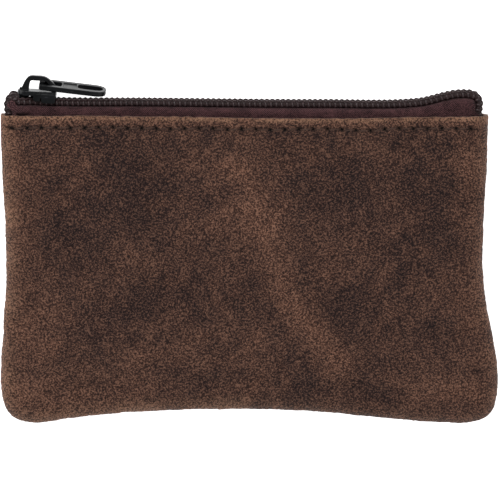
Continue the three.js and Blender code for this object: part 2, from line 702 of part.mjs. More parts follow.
function tape(side) {
  const bendY = BODY_HEIGHT - TAPE_STRAIGHT;
  const seamY = BODY_HEIGHT - ALLOWANCE_TOP + CLEAR;
  const endY = BODY_HEIGHT - TAPE_DEPTH;
  const rings = chainStations(TAPE_END_INSET).map((x) => {
    const distance = Math.min(x - LEFT_TOP_X, RIGHT_TOP_X - x);
    const spread = chainSpread(x);
    const y = TAPE_Y + chainLift(x);
    const fold = TAPE_FACE + spread;
    const mouth = tapeAtMouth(distance);
    const seam = tapeAtSeam(distance);
    const profile = [
      [TAPE_INNER + spread, y],
      [TAPE_INNER + spread, y + TAPE],
      [fold, y + TAPE],
      [mouth, BODY_HEIGHT],
      [mouth, bendY],
      [Math.min(seam, mouth), seamY],
      [Math.min(seam, mouth), endY],
      [Math.min(seam, mouth) - TAPE, endY],
      [Math.min(seam, mouth) - TAPE, seamY],
      [mouth - TAPE, bendY],
      [mouth - TAPE, BODY_HEIGHT],
      [fold - TAPE, y],
    ];
    return profile.map(([w, h]) => [x, h, across(side, w)]);
  });
  const seamPosts = posts(SEAM_HOLES, side, 0, SEAM_RUN, HOLE);
  return loft(rings)
    .subtract(posts(TOP_HOLES, side, BOBBIN_RUN, GROOVE_FLOOR, HOLE))
    .subtract(seamPosts)
    .subtract(coilPosts(side, COIL_HOLE, TAPE_Y - CUT_PAST, COIL_Y));
}

// ---- The slider, in its own frame: x along the chain, y out of it, z across ----

// An outline of [x, z] points, extruded from one y to another.
function plateAcross(outline, lowY, highY) {
  const shape = new THREE.Shape(outline.map(([x, z]) => new THREE.Vector2(x, z)));
  const geometry = new THREE.ExtrudeGeometry(shape, { depth: highY - lowY, bevelEnabled: false });
  geometry.translate(0, 0, -highY);
  geometry.rotateX(Math.PI / 2);
  return solidOf(geometry);
}

// A plate that is narrow at the nose, full in the middle and a little narrower at the rear.
function plateOutline(half, noseHalf, noseRun, rearHalf) {
  const nose = -SLIDER_LENGTH / 2;
  const rear = SLIDER_LENGTH / 2;
  const shape = new THREE.Shape();
  shape.moveTo(nose + PLATE_ROUND, -noseHalf);
  shape.quadraticCurveTo(nose + noseRun * 0.8, -half, nose + noseRun * 1.4, -half);
  shape.lineTo(rear - PLATE_ROUND, -rearHalf);
  shape.quadraticCurveTo(rear, -rearHalf, rear, -rearHalf + PLATE_ROUND);
  shape.lineTo(rear, rearHalf - PLATE_ROUND);
  shape.quadraticCurveTo(rear, rearHalf, rear - PLATE_ROUND, rearHalf);
  shape.lineTo(nose + noseRun * 1.4, half);
  shape.quadraticCurveTo(nose + noseRun * 0.8, half, nose + PLATE_ROUND, noseHalf);
  shape.quadraticCurveTo(nose, noseHalf * 0.8, nose, 0);
  shape.quadraticCurveTo(nose, -noseHalf * 0.8, nose + PLATE_ROUND, -noseHalf);
  return shape.getPoints(4).map((p) => [p.x, p.y]);
}

// The arch that holds the puller, seen from the front.
function archOutline() {
  const base = PLATE_TOP - TOP_PLATE / 2;
  const top = PLATE_TOP + BAIL_TOP;
  const front = -SLIDER_LENGTH / 2 + BAIL_FOOT_INSET;
  const rear = SLIDER_LENGTH / 2;
  const outer = new THREE.Shape();
  outer.moveTo(front, base);
  outer.lineTo(front, PLATE_TOP);
  outer.quadraticCurveTo(mix(front, BAIL_CREST_FROM, 0.4), top, BAIL_CREST_FROM, top);
  outer.lineTo(BAIL_CREST_TO, top);
  const shoulder = (share) => mix(BAIL_CREST_TO, rear, share);
  outer.quadraticCurveTo(shoulder(0.35), top, shoulder(0.6), top - BAIL_TOP / 4);
  outer.quadraticCurveTo(rear, mix(PLATE_TOP, top, 0.45), rear, PLATE_TOP);
  outer.lineTo(rear, base);
  return outer.getPoints(6).map((p) => [p.x, p.y]);
}

function archWindow() {
  const top = PLATE_TOP + BAIL_TOP - BAIL_STRAP;
  const front = -SLIDER_LENGTH / 2 + BAIL_FOOT_INSET + BAIL_LEG;
  const rear = SLIDER_LENGTH / 2 - BAIL_STRAP;
  const crest = [front + BAIL_STRAP / 2, BAIL_CREST_TO + BAIL_STRAP / 3];
  const window = new THREE.Shape();
  window.moveTo(front, PLATE_TOP);
  window.quadraticCurveTo(front, top, crest[0], top);
  window.lineTo(crest[1], top);
  window.quadraticCurveTo(mix(crest[1], rear, 0.5), top, mix(crest[1], rear, 0.7), mix(PLATE_TOP, top, 0.75));
  window.quadraticCurveTo(rear, mix(PLATE_TOP, top, 0.5), rear, PLATE_TOP);
  return window.getPoints(5).map((p) => [p.x, p.y]);
}

function wedge() {
  const from = -SLIDER_LENGTH / 2 + WEDGE_INSET;
  const tip = from + WEDGE_LENGTH;
  const full = mix(from, tip, 0.45);
  const half = [
    [from, WEDGE_HALF - WEDGE_ROUND],
    [from + WEDGE_ROUND, WEDGE_HALF],
    [full, WEDGE_HALF],
    [tip, WEDGE_TIP_HALF],
  ];
  const outline = [...half.map(([x, z]) => [x, -z]), ...half.slice().reverse()];
  return plateAcross(outline, -CHANNEL / 2 - BASE_PLATE / 2, CHANNEL / 2 + TOP_PLATE / 2);
}

// A side flange, with a notch between its front part and its deeper rear part.
function flange(side) {
  const start = -SLIDER_LENGTH / 2 + FLANGE_START;
  const end = SLIDER_LENGTH / 2 - REAR_FLANGE_INSET;
  const step = SLIDER_LENGTH / 2 - REAR_FLANGE_LENGTH;
  const high = CHANNEL / 2 + TOP_PLATE / 2;
  const low = CHANNEL / 2 - FLANGE_DROP;
  const lowest = low - REAR_FLANGE_DROP;
  const half = [SLIDER_HALF - FLANGE_WALL, SLIDER_HALF];
  const [near, far] = half.map((w) => side * w).sort((a, b) => a - b);
  const outline = [
    [start, high],
    [start, low + FLANGE_BEVEL],
    [start + FLANGE_BEVEL, low],
    [step - FLANGE_NOTCH, low],
    [step - FLANGE_NOTCH, low + FLANGE_NOTCH_DEPTH],
    [step, low + FLANGE_NOTCH_DEPTH],
    [step, lowest + FLANGE_BEVEL],
    [step + FLANGE_BEVEL, lowest],
    [end - FLANGE_BEVEL, lowest],
    [end, lowest + FLANGE_BEVEL],
    [end, high],
  ];
  return plate(outline, near, far);
}

function lug() {
  const start = -SLIDER_LENGTH / 2 + LUG_INSET;
  const outline = [
    [start, PLATE_TOP - TOP_PLATE / 2],
    [start + LUG_LENGTH, PLATE_TOP - TOP_PLATE / 2],
    [start + LUG_LENGTH, PLATE_TOP + LUG_RISE],
    [start + LUG_INSET, PLATE_TOP + LUG_RISE],
  ];
  return plate(outline, -BAIL_WIDTH / 2, BAIL_WIDTH / 2);
}

function sliderBody() {
  const topOutline = plateOutline(SLIDER_HALF, NOSE_HALF, NOSE_RUN, SLIDER_HALF - REAR_TAPER);
  const baseOutline = plateOutline(BASE_HALF, BASE_NOSE_HALF, BASE_NOSE_RUN, BASE_HALF);
  const top = plateAcross(topOutline, CHANNEL / 2, PLATE_TOP);
  const base = plateAcross(baseOutline, -CHANNEL / 2 - BASE_PLATE, -CHANNEL / 2);
  const arch = plate(archOutline(), -BAIL_WIDTH / 2, BAIL_WIDTH / 2);
  const hollow = plate(archWindow(), -BAIL_WIDTH, BAIL_WIDTH);
  return union([top, base, wedge(), flange(1), flange(-1), arch.subtract(hollow), lug()]);
}

// ---- The puller, in its own frame: x along it from its swing axis, y its thickness, z across ----

function roundedOutline(low, high, half, lowRound, highRound) {
  const shape = new THREE.Shape();
  shape.moveTo(low + lowRound, -half);
  shape.lineTo(high - highRound, -half);
  shape.quadraticCurveTo(high, -half, high, 0);
  shape.quadraticCurveTo(high, half, high - highRound, half);
  shape.lineTo(low + lowRound, half);
  shape.quadraticCurveTo(low, half, low, half - lowRound);
  shape.lineTo(low, -half + lowRound);
  shape.quadraticCurveTo(low, -half, low + lowRound, -half);
  return shape.getPoints(4).map((p) => [p.x, p.y]);
}

function pullerSolid() {
  const half = PULLER_WIDTH / 2;
  const start = -EYE_BAR / 2;
  const end = start + PULLER_LENGTH;
  const hole = half - PULLER_RAIL;
  const eyeEnd = EYE_BAR / 2 + EYE_LENGTH;
  const y = PULLER_THICK / 2;
  const ovalStart = eyeEnd + WEB_LENGTH;
  const body = plateAcross(roundedOutline(start, end, half, EYE_BAR, half), -y, y);
  const eye = plateAcross(roundedOutline(EYE_BAR / 2, eyeEnd, hole, EYE_ROUND, EYE_ROUND), -2 * y, 2 * y);
  const ovalOutline = roundedOutline(ovalStart, end - OVAL_END_WALL, hole, hole * 0.8, hole);
  const oval = plateAcross(ovalOutline, -2 * y, 2 * y);
  const [low, high] = [eyeEnd + WEB_MARGIN, ovalStart - WEB_MARGIN];
  const recesses = [1, -1].map((way) => {
    const [a, b] = [way * (y - WEB_RECESS), way * 2 * y].sort((p, q) => p - q);
    return box([low, a, -hole], [high, b, hole]);
  });
  return body.subtract(union([eye, oval, ...recesses]));
}

// ---- The assembly ----

const MATERIALS = {
  leather: { color: 0x5b4034, roughness: 0.85, metalness: 0 },
  tape: { color: 0x3a2326, roughness: 0.95, metalness: 0 },
  coil: { color: 0x2a1e1d, roughness: 0.45, metalness: 0 },
  metal: { color: 0x1b1c20, roughness: 0.35, metalness: 0.6 },
  thread: { color: 0x4a342b, roughness: 0.9, metalness: 0 },
};

function meshOf(name, solid, finish) {
  const { vertProperties, triVerts } = solid.getMesh();
  const geometry = new THREE.BufferGeometry();
  geometry.setAttribute("position", new THREE.BufferAttribute(vertProperties, 3));
  geometry.setIndex(new THREE.BufferAttribute(triVerts, 1));
  geometry.computeVertexNormals();
  const mesh = new THREE.Mesh(geometry, new THREE.MeshStandardMaterial(MATERIALS[finish]));
  mesh.name = name;
  return mesh;
}

const pouch = new THREE.Group();
pouch.position.y = -ORIGIN_Y;

for (const [word, side, rise] of [
  ["front", 1, frontRise],
  ["back", -1, backRise],
]) {
  pouch.add(meshOf(`${word}_panel`, leatherPanel(side, rise), "leather"));
  pouch.add(meshOf(`${word}_topstitch`, topstitch(side), "thread"));
  pouch.add(meshOf(`${word}_bobbin_thread`, bobbinThread(side), "thread"));
  pouch.add(meshOf(`${word}_zip_tape`, tape(side), "tape"));
  pouch.add(meshOf(`${word}_coil`, coil(side), "coil"));
  pouch.add(meshOf(`${word}_coil_cord`, coilCord(side), "tape"));
  pouch.add(meshOf(`${word}_coil_thread`, coilThread(side), "tape"));
}
pouch.add(meshOf("seam_needle_thread", seamNeedleThread(), "thread"));
pouch.add(meshOf("seam_bobbin_thread", seamBobbinThread(), "thread"));

const slider = new THREE.Group();
slider.position.set(SLIDER_X, SLIDER_Y, SEAM_Z);
slider.rotation.z = -TILT;
slider.add(meshOf("slider_body", sliderBody(), "metal"));

// The puller lies with its far end on the chain.
const puller = meshOf("puller", pullerSolid(), "metal");
const axisLocal = [PULLER_AXIS_X, PLATE_TOP + PULLER_AXIS_LIFT];
const axisY = SLIDER_Y + axisLocal[0] * Math.sin(-TILT) + axisLocal[1] * Math.cos(TILT);
const roll = THREE.MathUtils.degToRad(PULLER_ROLL);
const chainTop = TAPE_Y + CHAIN_THICK;
const restY = chainTop + PULLER_CLEAR + PULLER_THICK / 2 / Math.cos(roll) + CHAIN_HALF * Math.tan(roll);
const slope = Math.asin((axisY - restY) / (PULLER_LENGTH - EYE_BAR / 2));
puller.position.set(...axisLocal, 0);
puller.rotation.set(roll, 0, TILT - slope, "ZYX");
slider.add(puller);
pouch.add(slider);

export default pouch;
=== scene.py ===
"""The looks of the zippered pouch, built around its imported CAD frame.

Metres, in the row frame: +X along the zip, +Y out of the mouth, +Z out of the front.
Shapes follow the CAD nodes' own meshes: the leather's outline, the chain's run, the needle holes.
Distances named here are in millimetres, and MM turns them into metres.
"""

import math

import bmesh
import bpy
import numpy as np
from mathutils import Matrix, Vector
from mathutils.kdtree import KDTree


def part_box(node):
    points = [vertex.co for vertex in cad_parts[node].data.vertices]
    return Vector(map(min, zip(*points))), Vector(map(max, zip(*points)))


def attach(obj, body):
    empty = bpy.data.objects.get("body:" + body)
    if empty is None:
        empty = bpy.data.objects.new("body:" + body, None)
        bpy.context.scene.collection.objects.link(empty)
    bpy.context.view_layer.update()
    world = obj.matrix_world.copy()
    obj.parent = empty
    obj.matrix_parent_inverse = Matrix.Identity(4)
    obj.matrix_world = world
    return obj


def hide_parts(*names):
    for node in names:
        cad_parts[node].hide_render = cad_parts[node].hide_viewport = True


MM = 0.001
SEED = 7

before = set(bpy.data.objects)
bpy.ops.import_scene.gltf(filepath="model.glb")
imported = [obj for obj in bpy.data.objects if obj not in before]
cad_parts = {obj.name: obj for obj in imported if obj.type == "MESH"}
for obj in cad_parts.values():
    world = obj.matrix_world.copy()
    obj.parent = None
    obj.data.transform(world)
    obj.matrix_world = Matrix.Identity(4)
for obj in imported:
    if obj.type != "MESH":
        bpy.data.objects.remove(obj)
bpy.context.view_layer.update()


def in_scene(name, data):
    made = bpy.data.objects.new(name, data)
    bpy.context.scene.collection.objects.link(made)
    return made


# ---- The camera ----

VIEW_WIDTH = 117.2  # of the frame at the pouch
VIEW_DISTANCE = 1100
VIEW_TILT = 8  # degrees from straight above, towards the zip
VIEW_X = 0.12
VIEW_Y = 4.6
VIEW_Z = 5
SENSOR = 36


def make_camera():
    tilt = math.radians(VIEW_TILT)
    data = bpy.data.cameras.new("camera")
    data.sensor_width = SENSOR
    data.lens = SENSOR * VIEW_DISTANCE / VIEW_WIDTH
    data.clip_start = 0.01
    data.clip_end = 20
    camera = in_scene("camera", data)
    aim = Vector((VIEW_X, VIEW_Y, VIEW_Z)) * MM
    camera.location = aim + Vector((0, math.sin(tilt), math.cos(tilt))) * VIEW_DISTANCE * MM
    camera.rotation_euler = (-tilt, 0, 0)
    bpy.context.scene.camera = camera


make_camera()

# ---- Reading the CAD ----


def points_of(node):
    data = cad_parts[node].data
    flat = np.zeros(len(data.vertices) * 3)
    data.vertices.foreach_get("co", flat)
    return flat.reshape(-1, 3) / MM


def edges_of(node):
    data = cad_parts[node].data
    flat = np.zeros(len(data.edges) * 2, dtype=int)
    data.edges.foreach_get("vertices", flat)
    return flat.reshape(-1, 2)


def box_of(node):
    low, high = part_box(node)
    return np.array(low) / MM, np.array(high) / MM


SEAM = (box_of("front_coil")[0][2] + box_of("back_coil")[1][2]) / 2
SEAM_GAP = box_of("front_panel")[0][2] - SEAM
MOUTH_Y = box_of("front_panel")[1][1]


def smooth(low, high, value):
    t = np.clip((value - low) / (high - low), 0, 1)
    return t * t * (3 - 2 * t)


def mix(a, b, t):
    return a + (b - a) * t


def run_along(line):
    """The length along a line of points, at each of them."""
    return np.concatenate([[0], np.cumsum(np.linalg.norm(np.diff(line, axis=0), axis=1))])


def waves(x, y, size, seed, count=26):
    """A smooth field of about unit height, whose features are about size millimetres across."""
    rng = np.random.default_rng(SEED * 1000 + seed)
    total = np.zeros(np.broadcast(x, y).shape)
    for _ in range(count):
        turn, phase = rng.uniform(0, 2 * math.pi, 2)
        k = 2 * math.pi / (size * rng.uniform(1.3, 3.2))
        total += np.sin(k * (x * math.cos(turn) + y * math.sin(turn)) + phase)
    return total / math.sqrt(count / 2)


def ripple(run, size, seed):
    """The same along one direction only."""
    return waves(run, 0 * run, size, seed)


# ---- Meshes ----


def make_piece(
    name, points, faces, body, materials, replaced, face_material=None, values=None
):
    """A smooth-shaded mesh from points in millimetres, on its body."""
    data = bpy.data.meshes.new(name)
    data.from_pydata((np.asarray(points) * MM).tolist(), [], [list(f) for f in faces])
    data.validate()
    for key, array in (values or {}).items():
        attribute = data.attributes.new(key, "FLOAT", "POINT")
        attribute.data.foreach_set("value", np.asarray(array, np.float32))
    for material in materials:
        data.materials.append(material)
    if face_material is not None:
        data.polygons.foreach_set("material_index", np.asarray(face_material, np.int32))
    data.polygons.foreach_set("use_smooth", np.ones(len(data.polygons), bool))
    settle(in_scene(name, data), body, replaced)


def settle(piece, body, replaced):
    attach(piece, body)
    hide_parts(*replaced)


def grid_faces(rows, columns, start=0, wrap=False):
    """Quads over a grid of points; with wrap, the last column joins the first."""
    i = np.arange(rows - 1)[:, None]
    j = np.arange(columns if wrap else columns - 1)[None, :]
    k = (j + 1) % columns
    a = start + i * columns + j
    b = start + i * columns + k
    quads = np.stack([a, b, b + columns, a + columns], axis=-1)
    return quads.reshape(-1, 4)


def shell_faces(rows, columns):
    """The faces of two grids of points, one behind the other, and of the wall round them."""
    count = rows * columns
    outside = grid_faces(rows, columns)
    inside = grid_faces(rows, columns, start=count)[:, ::-1]
    rim = np.concatenate(
        [
            np.arange(columns),
            np.arange(1, rows) * columns + columns - 1,
            (rows - 1) * columns + np.arange(columns - 2, -1, -1),
            np.arange(rows - 2, 0, -1) * columns,
        ]
    )
    following = np.roll(rim, -1)
    wall = np.stack([rim, rim + count, following + count, following], axis=1)
    return outside, inside, wall


class Heap:
    """Points and faces gathered from several tubes."""

    def __init__(self):
        self.points = []
        self.faces = []
        self.count = 0

    def add(self, points, faces):
        self.faces.extend((np.asarray(f) + self.count).tolist() for f in faces)
        self.points.append(points)
        self.count += len(points)

    def all_points(self):
        return np.concatenate(self.points)


def tangents(path):
    along = np.gradient(path, axis=0)
    return along / np.linalg.norm(along, axis=1, keepdims=True)


def add_tube(heap, path, radius, up, sides=8, lobes=0.0, twist=0.0):
    """A closed tube along path; up is a direction that no part of it follows.

    lobes and twist give it two plies, which turn by twist radians in a millimetre.
    """
    along = tangents(path)
    side = np.cross(along, up)
    side /= np.linalg.norm(side, axis=1, keepdims=True)
    over = np.cross(side, along)
    run = run_along(path)
    angle = np.linspace(0, 2 * math.pi, sides, endpoint=False)
    reach = np.broadcast_to(np.asarray(radius, float), len(path))[:, None]
    reach = reach * (1 + lobes * np.cos(2 * (angle[None, :] - twist * run[:, None])))
    c, s = np.cos(angle)[None, :, None], np.sin(angle)[None, :, None]
    ring = path[:, None, :] + reach[..., None] * (c * side[:, None, :] + s * over[:, None, :])
    faces = grid_faces(len(path), sides, wrap=True).tolist()
    faces.append(list(range(sides))[::-1])
    faces.append([(len(path) - 1) * sides + k for k in range(sides)])
    heap.add(ring.reshape(-1, 3), faces)


# ---- Materials ----


class Shader:
    """A material made of nodes, with a principled surface."""

    def __init__(self, name):
        self.material = bpy.data.materials.new(name)
        self.material.use_nodes = True
        self.tree = self.material.node_tree
        self.tree.nodes.clear()
        self.surface = self.tree.nodes.new("ShaderNodeBsdfPrincipled")
        output = self.tree.nodes.new("ShaderNodeOutputMaterial")
        self.tree.links.new(self.surface.outputs[0], output.inputs[0])
        self.place = self.node("ShaderNodeTexCoord").outputs["Object"]

    def node(self, kind, **settings):
        made = self.tree.nodes.new(kind)
        for key, value in settings.items():
            setattr(made, key, value)
        return made

    def put(self, socket, value):
        if isinstance(value, bpy.types.NodeSocket):
            self.tree.links.new(value, socket)
        else:
            socket.default_value = value

    def noise(self, size, detail=2.0, rough=0.5, place=None, distort=0.0):
        """Noise with features about size millimetres across."""
        made = self.node("ShaderNodeTexNoise")
        self.put(made.inputs["Vector"], place or self.place)
        self.put(made.inputs["Scale"], 1 / (size * MM))
        self.put(made.inputs["Detail"], detail)
        self.put(made.inputs["Roughness"], rough)
        self.put(made.inputs["Distortion"], distort)
        return made.outputs["Fac"]

    def stretched(self, x, y, z):
        made = self.node("ShaderNodeMapping")
        self.put(made.inputs["Vector"], self.place)
        made.inputs["Scale"].default_value = (x, y, z)
        return made.outputs["Vector"]

    def value(self, name):
        return self.node("ShaderNodeAttribute", attribute_name=name).outputs["Fac"]

    def math(self, operation, a, b=0.0, c=0.0):
        made = self.node("ShaderNodeMath", operation=operation)
        for socket, value in zip(made.inputs, (a, b, c)):
            self.put(socket, value)
        return made.outputs[0]

    def between(self, value, low, high, to_low=0.0, to_high=1.0):
        made = self.node("ShaderNodeMapRange")
        for socket, number in zip(made.inputs, (value, low, high, to_low, to_high)):
            self.put(socket, number)
        return made.outputs[0]

    def mix(self, a, b, share):
        made = self.node("ShaderNodeMix", data_type="RGBA")
        self.put(made.inputs[0], share)
        self.put(made.inputs[6], a)
        self.put(made.inputs[7], b)
        return made.outputs[2]

    def bump(self, height, depth, under=None):
        """A bump whose height of 1 is depth millimetres."""
        made = self.node("ShaderNodeBump")
        self.put(made.inputs["Strength"], 1.0)
        self.put(made.inputs["Distance"], depth * MM)
        self.put(made.inputs["Height"], height)
        if under is not None:
            self.put(made.inputs["Normal"], under)
        return made.outputs["Normal"]

    def finish(self, **sockets):
        for name, value in sockets.items():
            self.put(self.surface.inputs[name.replace("_", " ")], value)
        return self.material


def colour(red, green, blue):
    """A linear colour from an sRGB one in 0 to 255."""

    def linear(level):
        share = level / 255
        return share / 12.92 if share <= 0.04045 else ((share + 0.055) / 1.055) ** 2.4

    return (linear(red), linear(green), linear(blue), 1.0)


def leather_material():
    shader = Shader("oiled_leather")
    broad = shader.noise(16, 4, 0.55, distort=0.6)
    cloud = shader.noise(4.5, 5, 0.6)
    mottle = shader.noise(1.1, 4, 0.7)
    grain = shader.noise(0.42, 3, 0.8)
    fine = shader.noise(0.24, 2, 0.6)
    # Wear, with painted highlight in its pale strokes and painted shadow in its dark patches.
    wear_and_painted_light = shader.value("wear_and_painted_light")
    tone = shader.math("MULTIPLY_ADD", broad, 0.2, wear_and_painted_light)
    tone = shader.math("MULTIPLY_ADD", cloud, 0.35, tone)
    tone = shader.math("MULTIPLY_ADD", mottle, 0.45, tone)
    tone = shader.between(tone, 0.22, 1.34)
    deep = shader.mix(colour(43, 26, 26), colour(105, 71, 57), tone)
    speck = shader.between(grain, 0.5, 0.6)
    flecks = shader.math("MULTIPLY", speck, shader.between(tone, 0, 1, 0.3, 0.7))
    pale = shader.mix(deep, colour(177, 131, 107), flecks)
    frayed = shader.math("MULTIPLY", shader.value("raw"), shader.between(grain, 0.4, 0.62, 0.35, 1.0))
    warm = shader.mix(pale, colour(172, 130, 104), frayed)
    pits = shader.between(grain, 0.5, 0.4)
    dark = shader.mix(warm, colour(20, 11, 10), shader.math("MULTIPLY", pits, 0.85))
    base = shader.mix(dark, colour(4, 2, 2), shader.value("shade"))
    relief = shader.bump(grain, 0.34)
    relief = shader.bump(fine, 0.1, relief)
    relief = shader.bump(mottle, 0.15, relief)
    return shader.finish(
        Base_Color=base,
        Roughness=shader.between(cloud, 0.3, 0.7, 0.66, 0.84),
        Normal=relief,
        Sheen_Weight=0.04,
        Sheen_Roughness=0.5,
        Specular_IOR_Level=0.2,
    )


def raw_edge_material():
    shader = Shader("raw_leather_edge")
    fibre = shader.noise(0.25, 3, 0.7)
    clump = shader.noise(1.4, 3, 0.6)
    tone = shader.math("MULTIPLY_ADD", clump, 0.6, fibre)
    base = shader.mix(colour(84, 60, 50), colour(150, 120, 104), shader.between(tone, 0.55, 1.1))
    relief = shader.bump(fibre, 0.2)
    return shader.finish(
        Base_Color=base,
        Roughness=0.9,
        Normal=relief,
        Sheen_Weight=0.05,
        Specular_IOR_Level=0.15,
    )


def thread_material(name, low, high):
    shader = Shader(name)
    strand = shader.noise(0.12, 2, 0.5)
    clump = shader.noise(2.5, 2, 0.5)
    tone = shader.math("MULTIPLY_ADD", clump, 0.5, strand)
    base = shader.mix(low, high, shader.between(tone, 0.5, 1.0))
    return shader.finish(
        Base_Color=base,
        Roughness=0.6,
        Normal=shader.bump(strand, 0.05),
        Sheen_Weight=0.04,
        Specular_IOR_Level=0.25,
    )


WARP_PITCH = 0.42  # of the tape's weave, across the tape
WEFT_PITCH = 0.5  # and along it


def tape_material():
    shader = Shader("woven_tape")
    along = shader.value("along")
    across = shader.value("across")
    warp = shader.math("SINE", shader.math("MULTIPLY", across, 2 * math.pi / WARP_PITCH))
    weft = shader.math("SINE", shader.math("MULTIPLY", along, 2 * math.pi / WEFT_PITCH))
    weave = shader.math("MULTIPLY", warp, weft)
    fluff = shader.noise(0.34, 3, 0.8)
    cloud = shader.noise(3, 3, 0.6)
    tone = shader.math("MULTIPLY_ADD", cloud, 0.4, fluff)
    tone = shader.math("MULTIPLY_ADD", weave, 0.22, tone)
    base = shader.mix(colour(12, 3, 7), colour(104, 70, 72), shader.between(tone, 0.56, 0.86))
    relief = shader.bump(weave, 0.06)
    relief = shader.bump(fluff, 0.2, relief)
    return shader.finish(
        Base_Color=base,
        Roughness=0.85,
        Normal=relief,
        Sheen_Weight=0.05,
        Specular_IOR_Level=0.15,
    )


def coil_material():
    shader = Shader("nylon_coil")
    streak = shader.noise(0.3, 2, 0.5)
    base = shader.mix(colour(30, 17, 19), colour(62, 43, 44), shader.between(streak, 0.35, 0.65))
    return shader.finish(
        Base_Color=base,
        Roughness=shader.between(streak, 0.3, 0.7, 0.3, 0.45),
        Normal=shader.bump(streak, 0.02),
        Specular_IOR_Level=0.5,
    )


def metal_material():
    shader = Shader("black_painted_metal")
    orange = shader.noise(0.35, 2, 0.5)
    smear = shader.noise(2.2, 4, 0.6)
    scratch = shader.noise(0.2, 2, 0.5, place=shader.stretched(0.12, 1, 1))
    rub = shader.math("MULTIPLY", shader.between(scratch, 0.62, 0.72), shader.between(smear, 0.5, 0.65))
    base = shader.mix(colour(3, 5, 7), colour(11, 13, 16), shader.between(smear, 0.35, 0.65))
    base = shader.mix(base, colour(110, 112, 116), shader.math("MULTIPLY", rub, 0.4))
    relief = shader.bump(orange, 0.012)
    relief = shader.bump(scratch, 0.006, relief)
    return shader.finish(
        Base_Color=base,
        Roughness=shader.between(smear, 0.3, 0.7, 0.26, 0.42),
        Normal=relief,
        Specular_IOR_Level=0.24,
    )


LEATHER = leather_material()
RAW_EDGE = raw_edge_material()
SEWING = thread_material("sewing_thread", colour(54, 36, 30), colour(92, 68, 57))
ZIP_SEWING = thread_material("zip_sewing_thread", colour(34, 22, 23), colour(66, 48, 48))
TAPE = tape_material()
COIL = coil_material()
METAL = metal_material()

# ---- The leather's outline ----


def resampled(line, count):
    run = run_along(line)
    at = np.linspace(0, run[-1], count)
    return np.stack([np.interp(at, run, line[:, k]) for k in range(line.shape[1])], axis=1)


def curve_through(line, count):
    """A smooth curve through the points of a line, evenly sampled."""
    run = run_along(line)
    lead = np.diff(run)
    slope = np.diff(line, axis=0) / lead[:, None]
    inner = slope[:-1] * lead[1:, None] + slope[1:] * lead[:-1, None]
    inner /= (lead[1:] + lead[:-1])[:, None]
    slopes = np.concatenate([[slope[0]], inner, [slope[-1]]])
    at = np.linspace(0, run[-1], count)
    k = np.clip(np.searchsorted(run, at, side="right") - 1, 0, len(lead) - 1)
    h = lead[k][:, None]
    t = ((at - run[k]) / lead[k])[:, None]
    start = (1 + 2 * t) * (1 - t) ** 2 * line[k] + t * (1 - t) ** 2 * h * slopes[k]
    end = t**2 * (3 - 2 * t) * line[k + 1] + t**2 * (t - 1) * h * slopes[k + 1]
    return start + end


NEAR = 0.01  # points that are closer than this lie on one line
WITHIN = 0.001  # keeps a cut inside the outline's box


def rim_points(node):
    """The corner points of a panel's sewn outline: its left side, its base and its right side."""
    points = points_of(node)
    edges = edges_of(node)
    a, b = points[edges[:, 0]], points[edges[:, 1]]
    sewn = points[np.abs(points[:, 2] - SEAM) < SEAM_GAP + 2 * NEAR]
    flat = np.unique(np.round(sewn[:, :2], 3), axis=0)
    found = {"left": [], "base": [], "right": []}
    left_corner = points[np.argmin(points[:, 0] + points[:, 1])]
    right_corner = points[np.argmax(points[:, 0] - points[:, 1])]

    def reach(axis, at):
        low, high = np.minimum(a[:, axis], b[:, axis]), np.maximum(a[:, axis], b[:, axis])
        at = np.clip(at, low.min() + WITHIN, high.max() - WITHIN)
        hit = (low <= at) & (high >= at) & (high > low)
        t = (at - a[hit, axis]) / (b[hit, axis] - a[hit, axis])
        other = mix(a[hit, 1 - axis], b[hit, 1 - axis], t)
        return other.min(), other.max()

    for x, y in flat:
        if y >= left_corner[1] - NEAR and abs(reach(1, y)[0] - x) < NEAR:
            found["left"].append((x, y))
        if y >= right_corner[1] - NEAR and abs(reach(1, y)[1] - x) < NEAR:
            found["right"].append((x, y))
        between = left_corner[0] - NEAR <= x <= right_corner[0] + NEAR
        if between and abs(reach(0, x)[0] - y) < NEAR:
            found["base"].append((x, y))
    left = np.array(sorted(found["left"], key=lambda p: p[1]))
    right = np.array(sorted(found["right"], key=lambda p: p[1]))
    base = np.array(sorted(found["base"]))
    return left, base, right


SIDE_SAMPLES = 500
LEFT_RIM, BASE_RIM, RIGHT_RIM = [
    curve_through(line, SIDE_SAMPLES) for line in rim_points("front_panel")
]


def coons(u, v):
    """The place in the outline for u from side to side and v from base to mouth."""

    def along(line, t):
        at = t * (len(line) - 1)
        return np.stack([np.interp(at, np.arange(len(line)), line[:, k]) for k in (0, 1)], axis=-1)

    base, left, right = along(BASE_RIM, u), along(LEFT_RIM, v), along(RIGHT_RIM, v)
    u, v = u[..., None], v[..., None]
    top = mix(LEFT_RIM[-1], RIGHT_RIM[-1], u)
    corners = mix(mix(LEFT_RIM[0], RIGHT_RIM[0], u), top, v)
    return (1 - v) * base + v * top + mix(left, right, u) - corners


RIM = np.concatenate([LEFT_RIM[::-1], BASE_RIM[1:], RIGHT_RIM[1:]])
RIM_IN = np.gradient(RIM, axis=0)[:, ::-1] * [-1, 1]
RIM_IN /= np.linalg.norm(RIM_IN, axis=1, keepdims=True)
RIM_RUN = run_along(RIM)
RIM_TREE = KDTree(len(RIM))
for _i, _p in enumerate(RIM):
    RIM_TREE.insert((_p[0], _p[1], 0), _i)
RIM_TREE.balance()


